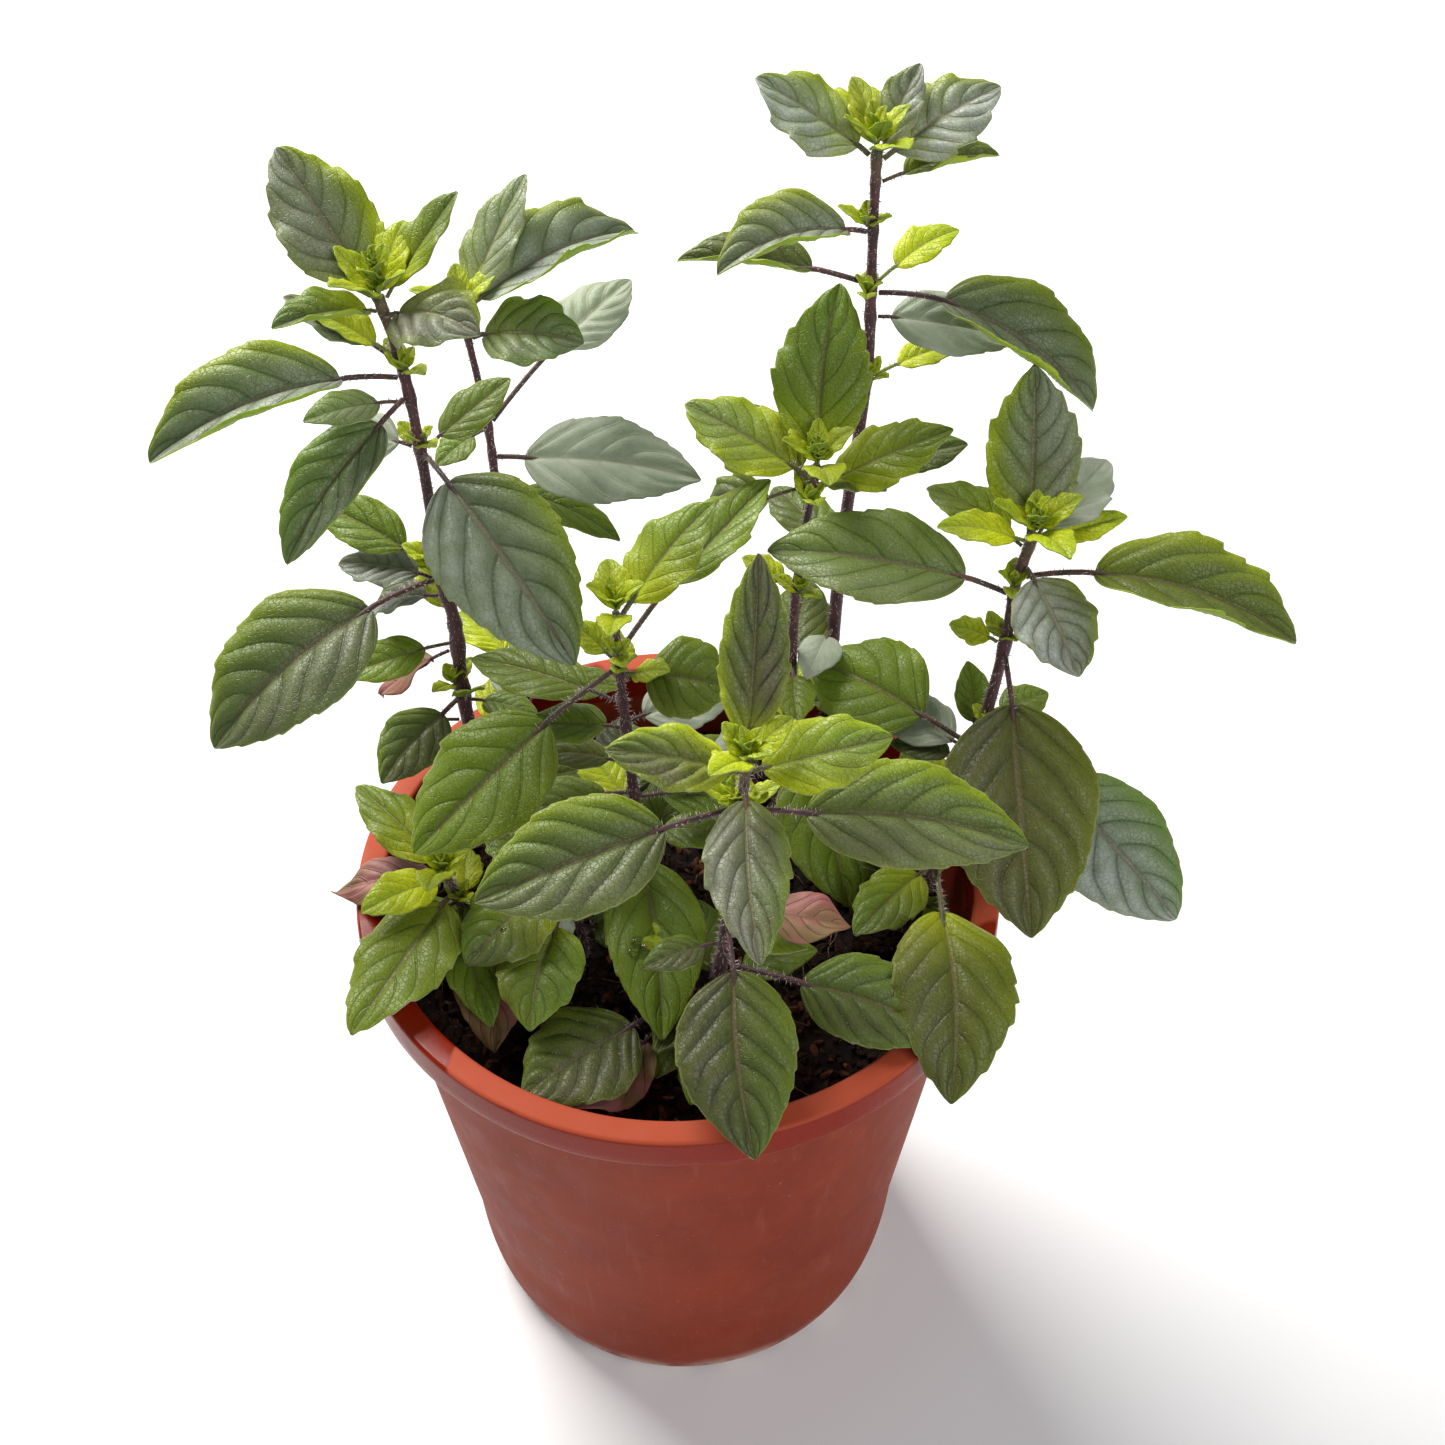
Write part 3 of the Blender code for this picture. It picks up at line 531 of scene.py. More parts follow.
def leaf_top_material():
    n = Nodes("leaf_upper_side")
    across, side, along = leaf_coordinates(n)
    veins, midrib, crest = vein_mask(n, across, side, along)
    net = net_veins(n)
    bright, purple, yellow, sheen_and_bloom = tint_parts(n)
    patch = n.noise(70.0, 4.0, 0.6)
    uneven = n.noise(190.0, 2.0, 0.5)
    fine = n.noise(500.0, 3.0, 0.6)
    green = n.mix(n.ramp(patch, 0.35, 0.65), DARKEST_GREEN, DARK_GREEN)
    green = n.mix(bright, green, LIGHT_GREEN)
    green = n.mix(yellow, green, YOUNG_YELLOW)
    grey_purple = n.mix(n.ramp(fine, 0.3, 0.7), DARK_PURPLE, LIGHT_PURPLE)
    purple_share = n.times(purple, n.ramp(patch, 0.25, 0.75, 0.45, 1.0))
    purple_share = n.times(purple_share, n.ramp(across, 0.6, 1.0, 1.0, 0.35))
    colour = n.mix(purple_share, green, grey_purple)
    # Grey coat on the crests: partly the leaf's own waxy bloom, partly painted sheen of the sky on the
    # pillows
    sheen_and_wax = n.times(sheen_and_bloom, n.math("MULTIPLY_ADD", crest, 0.35, 0.65))
    sheen_and_wax = n.times(sheen_and_wax, n.ramp(uneven, 0.3, 0.65, 0.6, 1.0))
    colour = n.mix(sheen_and_wax, colour, SHEEN_AND_BLOOM_GREY)
    # Painted highlight: the pillows' crests lightened towards a brighter green
    crest_highlight = n.mix(0.4, colour, CREST_HIGHLIGHT_GREEN)
    colour = n.stain(colour, crest, 0.30, crest_highlight)
    vein_colour = n.mix(yellow, VEIN_DARK, VEIN_YOUNG)
    colour = n.stain(colour, veins, 0.50, vein_colour)
    rib_colour = n.mix(yellow, MIDRIB_BROWN, MIDRIB_YOUNG)
    rib_colour = n.mix(sheen_and_bloom, rib_colour, MIDRIB_GREY)
    colour = n.stain(colour, midrib, 0.55, rib_colour)
    colour = n.stain(colour, net, 0.25, NET_DARK)
    margin = n.ramp(across, 0.955, 0.995)
    colour = n.stain(colour, margin, 0.6, MARGIN_PALE)
    n.set(Base_Color=colour, Roughness=n.ramp(fine, 0.2, 0.8, 0.35, 0.48))
    n.set(Specular_IOR_Level=0.32, Sheen_Weight=0.02, Sheen_Roughness=0.45, Subsurface_Weight=0.06,
          Subsurface_Radius=(0.4, 1.0, 0.1), Subsurface_Scale=0.0012)
    height = n.math("MULTIPLY_ADD", net, -0.5, n.times(veins, -1.0))
    height = n.math("MULTIPLY_ADD", uneven, 2.4, height)
    height = n.math("MULTIPLY_ADD", fine, 0.4, height)
    n.bump(height, 0.0003, 0.55)
    return n.material


def leaf_under_material(name, colour_low, colour_high, vein_colour):
    n = Nodes(name)
    across, side, along = leaf_coordinates(n)
    veins, _, crest = vein_mask(n, across, side, along)
    net = net_veins(n)
    patch = n.noise(90.0, 4.0, 0.6)
    colour = n.mix(n.ramp(patch, 0.3, 0.7), colour_low, colour_high)
    # Painted shade: the hollows behind the pillows darkened towards the underside's darker colour
    colour = n.stain(colour, crest, 0.25, colour_low)
    colour = n.stain(colour, net, 0.3, vein_colour)
    colour = n.stain(colour, veins, 0.6, vein_colour)
    n.set(Base_Color=colour, Roughness=n.ramp(patch, 0.3, 0.7, 0.55, 0.68))
    n.set(Sheen_Weight=0.12, Subsurface_Weight=0.08, Subsurface_Radius=(0.5, 1.0, 0.1),
          Subsurface_Scale=0.0012)
    n.bump(n.math("MULTIPLY_ADD", net, 0.5, veins), 0.0002, 0.55)
    return n.material


def withered_material():
    n = Nodes("leaf_withered")
    across, side, along = leaf_coordinates(n)
    veins, _, _ = vein_mask(n, across, side, along)
    patch = n.noise(120.0, 5.0, 0.6)
    colour = n.mix(n.ramp(patch, 0.35, 0.62), (0.28, 0.085, 0.070, 1), (0.17, 0.11, 0.035, 1))
    colour = n.mix(n.ramp(n.noise(45.0), 0.5, 0.68), colour, (0.45, 0.19, 0.17, 1))
    colour = n.stain(colour, veins, 0.5, (0.14, 0.035, 0.035, 1))
    n.set(Base_Color=colour, Roughness=n.ramp(patch, 0.3, 0.7, 0.5, 0.75))
    n.bump(n.math("MULTIPLY_ADD", patch, 1.5, veins), 0.0003, 0.9)
    return n.material


def stalk_material():
    n = Nodes("stem_skin")
    streak = n.noise(260.0, 4.0, 0.6)
    _, _, yellow, _ = tint_parts(n)
    dark = n.mix(n.ramp(streak, 0.3, 0.7), (0.030, 0.007, 0.012, 1), (0.105, 0.032, 0.040, 1))
    green = n.mix(n.ramp(streak, 0.3, 0.7), (0.13, 0.19, 0.02, 1), (0.25, 0.34, 0.03, 1))
    n.set(Base_Color=n.mix(yellow, dark, green), Roughness=n.ramp(streak, 0.3, 0.7, 0.5, 0.7))
    n.set(Sheen_Weight=0.2, Sheen_Roughness=0.5)
    n.bump(streak, 0.0003, 0.7)
    return n.material


def hair_material():
    n = Nodes("hairs")
    tone = n.ramp(n.noise(300.0), 0.4, 0.6)
    n.set(Base_Color=n.mix(tone, (0.55, 0.40, 0.40, 1), (0.90, 0.82, 0.78, 1)), Roughness=0.5)
    return n.material


# ---------------------------------------------------------------- plant geometry

def smooth_route(points, steps):
    """Catmull-Rom curve through the points."""
    ends = [points[0] * 2 - points[1]] + points + [points[-1] * 2 - points[-2]]
    route = []
    for a, b, c, d in zip(ends, ends[1:], ends[2:], ends[3:]):
        for step in range(steps):
            t = step / steps
            route.append(0.5 * (2 * b + (c - a) * t + (2 * a - 5 * b + 4 * c - d) * t ** 2
                                + (3 * b - a - 3 * c + d) * t ** 3))
    route.append(points[-1])
    return route


def stem_route(name, steps=3):
    foot = STEMS[name][1][0]
    points = [Vector((*foot, SOIL_LEVEL + STRAIGHT_FOOT))]
    points += [Vector(point) for point in STEMS[name][1][1:]]
    return [Vector((*foot, SOIL_LEVEL + GAP))] + smooth_route(points, steps)


def stem_radius(name, height):
    top = STEMS[name][1][-1][2]
    share = min(1.0, (height - SOIL_LEVEL) / (top - SOIL_LEVEL))
    return STEMS[name][0] * (1 - (1 - STEM_TIP_SHARE) * share)


def stem_point(name, height):
    route = stem_route(name)
    for low, high in zip(route, route[1:]):
        if low.z <= height <= high.z:
            return low.lerp(high, (height - low.z) / (high.z - low.z))
    return route[-1]


def leaf_frame(heading, rise, roll):
    """Directions along the chord, across the blade and out of its upper side."""
    heading, rise = math.radians(heading), math.radians(rise)
    along = Vector((math.cos(heading) * math.cos(rise), math.sin(heading) * math.cos(rise), math.sin(rise)))
    across = Vector((-math.sin(heading), math.cos(heading), 0.0))
    across.rotate(Matrix.Rotation(math.radians(roll), 3, along))
    return along, across, along.cross(across)


def leaf_start(stem, height, heading, rise, arch):
    """Where the stalk leaves its stem."""
    turn = math.radians(heading)
    reach = stem_radius(stem, height) + GAP + STALK_RADIUS * math.sin(math.radians(abs(rise) + arch / 2))
    return stem_point(stem, height) + Vector((math.cos(turn), math.sin(turn), 0)) * reach


def grid_faces(rows, columns, first=0, flip=False):
    """Quads of a rows x columns grid of vertices numbered row by row."""
    r, c = np.meshgrid(np.arange(rows - 1), np.arange(columns - 1), indexing="ij")
    a = first + r * columns + c
    quads = np.stack([a, a + 1, a + columns + 1, a + columns], axis=-1).reshape(-1, 4)
    return quads[:, ::-1] if flip else quads


def ring_faces(rings, sides):
    """Faces of a closed body made of rings of vertices, one ring after another."""
    faces = []
    for ring in range(rings - 1):
        for k in range(sides):
            a, b = ring * sides + k, ring * sides + (k + 1) % sides
            faces.append((a, b, b + sides, a + sides))
    last = (rings - 1) * sides
    return faces + [tuple(range(sides))[::-1], tuple(range(last, last + sides))]


def on_circle(radius, turn, height=0.0):
    return radius * math.cos(turn), radius * math.sin(turn), height


@functools.cache
def icosphere(subdivisions):
    """Vertices and faces of a unit sphere, to be bent into drops and chips."""
    form = bmesh.new()
    bmesh.ops.create_icosphere(form, subdivisions=subdivisions, radius=1.0)
    verts = [v.co.copy() for v in form.verts]
    faces = [tuple(v.index for v in f.verts) for f in form.faces]
    form.free()
    return verts, faces


def tube(points, radii, sides):
    """Vertices and faces of a closed tube; faces as lists of indices."""
    points = [Vector(p) for p in points]
    verts = []
    side = None
    for i, point in enumerate(points):
        before, after = points[max(i - 1, 0)], points[min(i + 1, len(points) - 1)]
        axis = (after - before).normalized()
        if side is None:
            side = axis.orthogonal().normalized()
        side = (side - axis * side.dot(axis)).normalized()
        other = axis.cross(side)
        for k in range(sides):
            turn = 2 * math.pi * k / sides
            verts.append(point + (side * math.cos(turn) + other * math.sin(turn)) * radii[i])
    return verts, ring_faces(len(points), sides)


class Build:
    """Collects the vertices, faces, finishes, blade map and tints of one piece."""

    def __init__(self):
        self.verts, self.faces, self.slots, self.uvs, self.tints = [], [], [], [], []
        self.count = 0

    def add(self, verts, faces, slot, tint=(0.5, 0.0, 0.0), uvs=None):
        verts = np.array([tuple(v) for v in verts], dtype=float).reshape(-1, 3)
        self.verts.append(verts)
        self.uvs.append(np.full((len(verts), 2), 0.5) if uvs is None else np.asarray(uvs))
        tint = np.asarray(tint, dtype=float)
        tint = np.broadcast_to(tint, (len(verts), tint.shape[-1]))
        self.tints.append(np.pad(tint, ((0, 0), (0, 4 - tint.shape[1]))))
        self.faces += [tuple(int(i) + self.count for i in face) for face in faces]
        self.slots += [slot] * len(faces)
        self.count += len(verts)

    def finish(self, name, materials, slot_name, replaced=None):
        mesh = bpy.data.meshes.new(name)
        mesh.from_pydata((np.concatenate(self.verts) * MM).tolist(), [], self.faces)
        for material in materials:
            mesh.materials.append(material)
        mesh.polygons.foreach_set("material_index", self.slots)
        loops = np.empty(len(mesh.loops), dtype=np.int32)
        mesh.loops.foreach_get("vertex_index", loops)
        layer = mesh.uv_layers.new(name="blade")
        layer.data.foreach_set("uv", np.concatenate(self.uvs)[loops].astype(np.float32).ravel())
        colours = np.concatenate(self.tints).astype(np.float32)
        tint = mesh.color_attributes.new("tint", "FLOAT_COLOR", "POINT")
        tint.data.foreach_set("color", colours.ravel())
        mesh.shade_smooth()
        mesh.validate()
        piece = bpy.data.objects.new(name, mesh)
        bpy.context.collection.objects.link(piece)
        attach(piece, "root")
        if replaced:
            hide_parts(replaced)
        return piece


def add_hairs(build, points, radii, per_mm, chance, slot):
    """Short fine hairs standing out of a tube."""
    for (a, ra), (b, rb) in zip(zip(points, radii), zip(points[1:], radii[1:])):
        axis = b - a
        length = axis.length
        if length == 0:
            continue
        axis.normalize()
        side = axis.orthogonal().normalized()
        other = axis.cross(side)
        for _ in range(int(length * per_mm + chance.random())):
            share, turn = chance.random(), chance.random() * 2 * math.pi
            out = side * math.cos(turn) + other * math.sin(turn)
            root = a.lerp(b, share) + out * (ra + (rb - ra) * share) * 0.9
            lean = (out + axis * chance.uniform(-0.35, 0.35)).normalized()
            tip = root + lean * HAIR_LENGTH * chance.uniform(0.45, 1.15)
            u = lean.orthogonal().normalized()
            v = lean.cross(u)
            foot = [root + (u * math.cos(k) + v * math.sin(k)) * HAIR_RADIUS for k in THIRDS_OF_TURN]
            build.add(foot + [tip], ((0, 1, 3), (1, 2, 3), (2, 0, 3), (2, 1, 0)), slot)


def blade_outline(t):
    """Half width along the blade, from 0 at the base through 1 at the widest place to 0 at the tip."""
    widest = BASE_POWER / (BASE_POWER + TIP_POWER)
    return (t / widest) ** BASE_POWER * ((1 - t) / (1 - widest)) ** TIP_POWER


def tooth_profile(t, side, blade, coarse, chance):
    """Blunt teeth that point forward: 0 in a notch, about 1 on a tooth's tip."""
    teeth = max(5, round(blade / TOOTH_PITCH * (0.8 if coarse else 1.0)))
    place = np.clip(t * teeth + 0.25 * (side > 0), 0, teeth + 0.999)
    sizes = np.array([chance.uniform(0.35, 1.25) for _ in range(teeth + 2)])
    saw = place % 1.0
    tooth = np.where(saw < TOOTH_PEAK, (saw / TOOTH_PEAK) ** 0.8, (1 - saw) / (1 - TOOTH_PEAK))
    return tooth * sizes[place.astype(int)] * (COARSE_TOOTH if coarse else 1.0)


def rolled_up(reach, half, near, turn):
    """Reach and lift of a blade whose near margin rolls up and over by turn radians."""
    start = CURL_START * half
    span = np.maximum(half - start, 1e-6)
    beyond = np.clip(reach - start, 0, None) * near
    angle = turn * beyond / span
    radius = span / np.maximum(turn, 1e-6)
    rolled = (beyond > 0) & (turn > 0)
    lift = np.where(rolled, radius * (1 - np.cos(angle)), 0.0)
    return np.where(rolled, start + radius * np.sin(angle), reach), lift


def blade_points(leaf, start, chance, curl=0.0, coarse=False):
    """Upper-side points of a blade as a rows x columns grid, with their map."""
    heading, rise, length, width, stalk, arch, roll, fold, finish = leaf
    blade = length - stalk
    rows = max(30, int(blade * ROWS_PER_MM))
    columns = 37 if width > 12 else 21
    along, across, up = (np.array(v) for v in leaf_frame(heading, rise, roll))
    t = np.linspace(0, 1, rows)[:, None]
    v = np.linspace(-1, 1, columns)[None, :]
    mirrored = np.abs(v)
    side = np.sign(v)
    shape = blade_outline(t)
    half = width / 2 * shape + 0.25
    tooth = tooth_profile(t, side, blade, coarse, chance)
    tooth_size = TOOTH_DEPTH * width * np.clip(np.sin(np.pi * t), 0, 1) ** 0.5
    reach = mirrored * half + (tooth - 0.5) * tooth_size * mirrored ** TOOTH_INSET
    ahead = tooth * tooth_size * 0.9 * mirrored ** TOOTH_INSET
    turn = math.radians(arch)
    radius = length / (2 * math.sin(turn / 2))
    share = (stalk + t * blade) / length
    slope = turn * (0.5 - share)
    run = length / 2 - radius * np.sin(slope)
    height = radius * (np.cos(slope) - math.cos(turn / 2))
    sway = blade * chance.uniform(-LARGEST_SWAY, LARGEST_SWAY) * np.sin(np.pi * t)
    wave_turn = chance.uniform(0, 6.28)
    near = side == (1 if math.cos(math.radians(heading)) < 0 else -1)
    roll_turn = math.radians(curl) * np.clip(np.sin(np.pi * t), 0, 1) ** 0.5
    reach, rolled_lift = rolled_up(reach, half, near, roll_turn)
    lift = rolled_lift + reach * math.tan(math.radians(fold)) * (1 - 0.25 * mirrored)
    lift = lift - MARGIN_DROOP * width * mirrored ** 2.6 * shape
    wander = np.sin(2 * np.pi * 1.4 * t + 2 * wave_turn)
    wander = wander + 0.7 * np.sin(2 * np.pi * 3.3 * t + side * 1.7) * mirrored
    pairs = chance.choice((5, 5, 6)) if finish != "young" else VEIN_PAIRS
    mapped = (t + VEIN_WANDER * wander * np.sin(np.pi * t)) * pairs / VEIN_PAIRS
    phase = VEIN_PAIRS * (mapped - VEIN_SWEEP * mirrored ** VEIN_BOW) + VEIN_STAGGER * side
    pillow = np.abs(np.sin(np.pi * phase)) ** 0.62
    relief = RELIEF_OF_FINISH[finish] * chance.uniform(0.65, 1.2)
    fading_out = (1 - mirrored ** 4) * np.clip(mirrored * 4, 0, 1) * shape ** 0.7
    pillow_size = relief * PILLOW_HEIGHT * width * fading_out
    lift = lift + (pillow - 0.5) * pillow_size
    lift = lift - MIDRIB_GROOVE * width * np.exp(-(mirrored * half / (0.03 * width + 0.35)) ** 2)
    ripple = (COARSE_RIPPLE if coarse else MARGIN_RIPPLE) * width
    ripple = ripple * np.sin(2 * np.pi * (2.7 * t) + wave_turn + side * 1.1)
    lift = lift + ripple * mirrored ** 3 * shape
    if finish == "withered":
        crumple = np.sin(2 * np.pi * (1.6 * t) + wave_turn + side) * mirrored ** 1.5
        lift = lift + CRUMPLE * width * crumple
    twist = math.radians(chance.uniform(-LARGEST_TWIST, LARGEST_TWIST)) * (t - 0.3)
    flat = reach * side * np.cos(twist) - lift * np.sin(twist)
    lift = reach * side * np.sin(twist) + lift * np.cos(twist)
    x = run + ahead * np.cos(slope) - lift * np.sin(slope)
    z = height + ahead * np.sin(slope) + lift * np.cos(slope)
    y = flat + sway
    points = np.array(start) + x[..., None] * along + y[..., None] * across + z[..., None] * up
    blade_map = np.stack([np.broadcast_to(v * 0.5 + 0.5, x.shape), np.broadcast_to(mapped, x.shape)], axis=-1)
    return points, blade_map


def midline(leaf, start, first, last, steps):
    """Points along a leaf's middle, from one share of its full length to another."""
    heading, rise, length, _, _, arch, roll, _, _ = leaf
    along, _, up = leaf_frame(heading, rise, roll)
    turn = math.radians(arch)
    radius = length / (2 * math.sin(turn / 2))
    route = []
    for step in range(steps + 1):
        share = first + (last - first) * step / steps
        slope = turn * (0.5 - share)
        run = length / 2 - radius * math.sin(slope)
        route.append(start + along * run + up * radius * (math.cos(slope) - math.cos(turn / 2)))
    return route


def blade_tint(leaf, start, blade_map, chance, glow, tones):
    """Brightness, purple share, yellow share and grey coat of each point of a blade; the grey coat is partly
    waxy bloom and partly painted sheen, and the greyer, more purple near half and high leaves are painted
    sheen.
    """
    heading, _, length, _, _, _, _, _, finish = leaf
    bright, purple, yellow = FINISH_TINTS[finish]
    v = blade_map[..., 0] * 2 - 1
    t = np.linspace(0, 1, len(v))[:, None] + 0 * v
    fading = 0.45 if finish == "young" else 0.0
    glowing = glow * (1 - t) ** (2.5 if length < 35 else 6.0)
    near = v * (1 if math.cos(math.radians(heading)) < 0 else -1)
    if finish not in ("deep", "purple"):
        near = 0.3 * near
    edge = tones["edge"] * np.abs(v) ** 2.5 * (1 - 0.4 * t) * (1 - 0.5 * near)
    half_shade = tones["two_tone"] or chance.uniform(-0.12, 0.12)
    # Painted sheen: the near half is made darker, greyer and more purple, its grey coat is stronger, and
    # leaves above 200 mm are made more purple-grey
    return np.stack([
        bright + tones["shade"] + chance.uniform(-0.16, 0.16) + 0.12 * t + half_shade * v - 0.10 * near,
        purple + chance.uniform(-0.12, 0.18) + chance.uniform(-0.1, 0.2) * v + 0.25 * near - glowing
        - edge + 0.15 * max(0.0, (start[2] - 200) / 100),
        yellow + chance.uniform(-0.03, 0.06) - fading * t + 0.07 * v ** 4 + edge - 0.03 * near + glowing,
        tones["sheen_and_bloom"] * (0.72 + 0.58 * near) - edge,
    ], axis=-1).clip(0, 1).reshape(-1, 4)


def add_stalk(build, leaf, start, chance, size, hairs, glow):
    """A leaf's stalk, running on under the blade as the midrib."""
    heading, rise, length, width, stalk, _, roll, _, finish = leaf
    steps = 18
    route = midline(leaf, start, 0.0, MIDRIB_END, steps)
    shares = [MIDRIB_END * i / steps - stalk / length for i in range(steps + 1)]
    base = STALK_RADIUS * size
    radii = [base if share <= 0 else max(0.13, base * (1 - share * 1.15)) for share in shares]
    up = leaf_frame(heading, rise, roll)[2]
    sinks = [(MIDRIB_GROOVE * width + radius * 1.05) * min(1.0, max(0.0, share) / 0.08)
             for share, radius in zip(shares, radii)]
    lowered = [place - up * sink for place, sink in zip(route, sinks)]
    verts, faces = tube(lowered, radii, 8)
    build.add(verts, faces, 2, (0.5, 0.5, min(1.0, FINISH_TINTS[finish][2] * 0.9 + glow * 0.4)))
    bare = [place for place, share in zip(lowered, shares) if share <= 0.06]
    if hairs and len(bare) > 1:
        add_hairs(build, bare, radii[:len(bare)], STALK_HAIRS_PER_MM, chance, 3)


def add_leaf(build, leaf, start, chance, size=1.0, hairs=True, glow=0.0, curl=0.0, tones=None):
    """One leaf: blade with teeth, quilting and veins, and its stalk.

    glow turns the base of the blade towards the yellow of young growth, curl is the near
    margin's roll in degrees, and tones the leaf's own row of TONES. The half nearer the
    front is painted greyer and more purple: a painted sheen.
    """
    tones = {"sheen_and_bloom": 0.0, "edge": 0.0, "shade": 0.0, "two_tone": 0.0, **(tones or {})}
    coarse = leaf[8] in ("young", "purple") or glow > 0
    points, blade_map = blade_points(leaf, start, chance, curl, coarse)
    rows, columns = points.shape[:2]
    normals = np.cross(np.gradient(points, axis=0), np.gradient(points, axis=1))
    normals /= np.linalg.norm(normals, axis=-1, keepdims=True) + 1e-12
    under = points - normals * LEAF_THICKNESS
    tint = blade_tint(leaf, start, blade_map, chance, glow, tones)
    count = rows * columns
    edge = np.concatenate([
        np.arange(columns), np.arange(2, rows + 1) * columns - 1,
        np.arange(count - 2, count - columns - 1, -1), np.arange(rows - 2, 0, -1) * columns,
    ])
    after = np.roll(edge, -1)
    rim = np.stack([edge, after, after + count, edge + count], axis=-1)
    top = grid_faces(rows, columns, flip=True)
    bottom = np.concatenate([grid_faces(rows, columns, first=count), rim])
    both = np.concatenate([points.reshape(-1, 3), under.reshape(-1, 3)])
    first = build.count
    build.add(both, top, 0, np.concatenate([tint, tint]), np.concatenate([blade_map.reshape(-1, 2)] * 2))
    build.faces += [tuple(int(i) + first for i in face) for face in bottom]
    build.slots += [1] * len(bottom)
    add_stalk(build, leaf, start, chance, size, hairs, glow)
    return points, normals


def add_cluster(build, origin, heading, size, chance, pairs=3, rise=32):
    """A growing tip: crossed pairs of young leaves, each smaller and steeper than the last."""
    for pair in range(pairs):
        length = size * 0.70 ** pair
        lift = rise + (80 - rise) * (pair / pairs) ** 0.8
        for half in (0, 180):
            turn = heading + 90 * pair + half + chance.uniform(-14, 14)
            leaf = (turn, lift + chance.uniform(-8, 8), length * chance.uniform(0.85, 1.1),
                    length * chance.uniform(0.48, 0.58), 0.10 * length, chance.uniform(15, 60),
                    0, 20, "young")
            base = origin + Vector((0, 0, pair * 0.09 * size))
            add_leaf(build, leaf, base, chance, size=0.45, hairs=False, glow=0.3)


def add_spike(build, origin, height, chance):
    """A young flower spike: whorls of small folded bracts up a short axis."""
    whorls = 6
    for whorl in range(whorls):
        share = whorl / (whorls - 1)
        for quarter in range(4):
            length = (4.6 - 2.6 * share) * chance.uniform(0.85, 1.1)
            heading, rise = 45 * whorl + 90 * quarter, 50 + 30 * share
            leaf = (heading, rise, length, 0.72 * length, 0.2, 45, 0, 22, "young")
            base = origin + Vector((0, 0, height * share))
            add_leaf(build, leaf, base, chance, size=0.35, hairs=False, glow=0.3)


def leaf_materials():
    """Slots of every plant piece: upper side, underside, stalk and hairs."""
    return {
        "top": leaf_top_material(),
        # Bright yellow-green underside: painted light shining through the blade, on young leaves partly their
        # own colour
        "bright": leaf_under_material("leaf_under_painted_backlight", (0.20, 0.30, 0.008, 1), (0.36, 0.47, 0.012, 1),
                                      (0.11, 0.19, 0.008, 1)),
        "pale": leaf_under_material("leaf_under_pale", (0.240, 0.285, 0.185, 1), (0.410, 0.445, 0.345, 1),
                                    (0.36, 0.37, 0.26, 1)),
        "withered": withered_material(),
        "stalk": stalk_material(),
        "hair": hair_material(),
    }


def fits_pot(stem, height, heading, length):
    """Whether a leaf this long stays clear of the pot: over the rim, or inside the wall."""
    if height > POT_HEIGHT + RIM_CLEARANCE:
        return True
    start = stem_point(stem, height)
    turn = math.radians(heading)
    for ahead, aside in ((1.0, 0.0), (0.6, 0.27), (0.6, -0.27)):
        x = start.x + length * (ahead * math.cos(turn) - aside * math.sin(turn))
        y = start.y + length * (ahead * math.sin(turn) + aside * math.cos(turn))
        if math.hypot(x, y) > WALL_TOP_RADIUS - WALL - RIM_CLEARANCE:
            return False
    return True


def low_growth():
    """Rows of the leaves low on the stems, each a golden-angle turn on from the one below."""
    rows = {}
    for stem, number, low, high, first, longest in LOW_GROWTH:
        for k in range(number):
            share = k / (number - 1)
            length = longest * (1 - 0.3 * share)
            height = low + (high - low) * share
            heading = first + 137.5 * k
            while length > SHORTEST_LOW_LEAF and not fits_pot(stem, height, heading, length):
                length -= 1
            if not fits_pot(stem, height, heading, length):
                continue
            finish = ("green", "deep", "green", "young", "pale")[k % 5]
            rows[f"low_{stem[5:]}_{k + 1}"] = (
                stem, height, heading, 12 - 10 * share, length,
                0.52 * length, 0.18 * length, 35, 0, 14, finish)
    return rows


def make_leaves(shared):
    """All leaves; returns each one's surface points and normals by name."""
    surfaces = {}
    for number, (name, row) in enumerate({**LEAVES, **SMALL_LEAVES, **low_growth()}.items()):
        chance = random.Random(number)
        stem, height = row[:2]
        leaf = row[2:]
        in_cad = name in LEAVES
        finish = leaf[8]
        start = leaf_start(stem, height, leaf[0], leaf[1], leaf[5])
        below_tip = STEMS[stem][1][-1][2] - height
        glow = max(0.0, 0.8 - below_tip / 16) if finish != "withered" else 0.0
        build = Build()
        surfaces[name] = add_leaf(build, leaf, start, chance, size=1.0 if in_cad else 0.7,
                                  glow=glow, curl=CURLED.get(name, 0), tones=TONES.get(name),
                                  hairs=not name.startswith("low_"))
        top, under = shared["top"], shared["pale"]
        # Curled and young leaves show the bright underside: painted light shining through the blade
        if name in CURLED or finish == "young":
            under = shared["bright"]
        if finish == "pale":
            top = shared["pale"]
        if finish == "withered":
            top = under = shared["withered"]
        build.finish(name + "_blade" if in_cad else name, [top, under, shared["stalk"], shared["hair"]],
                     SLOT_OF_FINISH[finish], name if in_cad else None)
    return surfaces


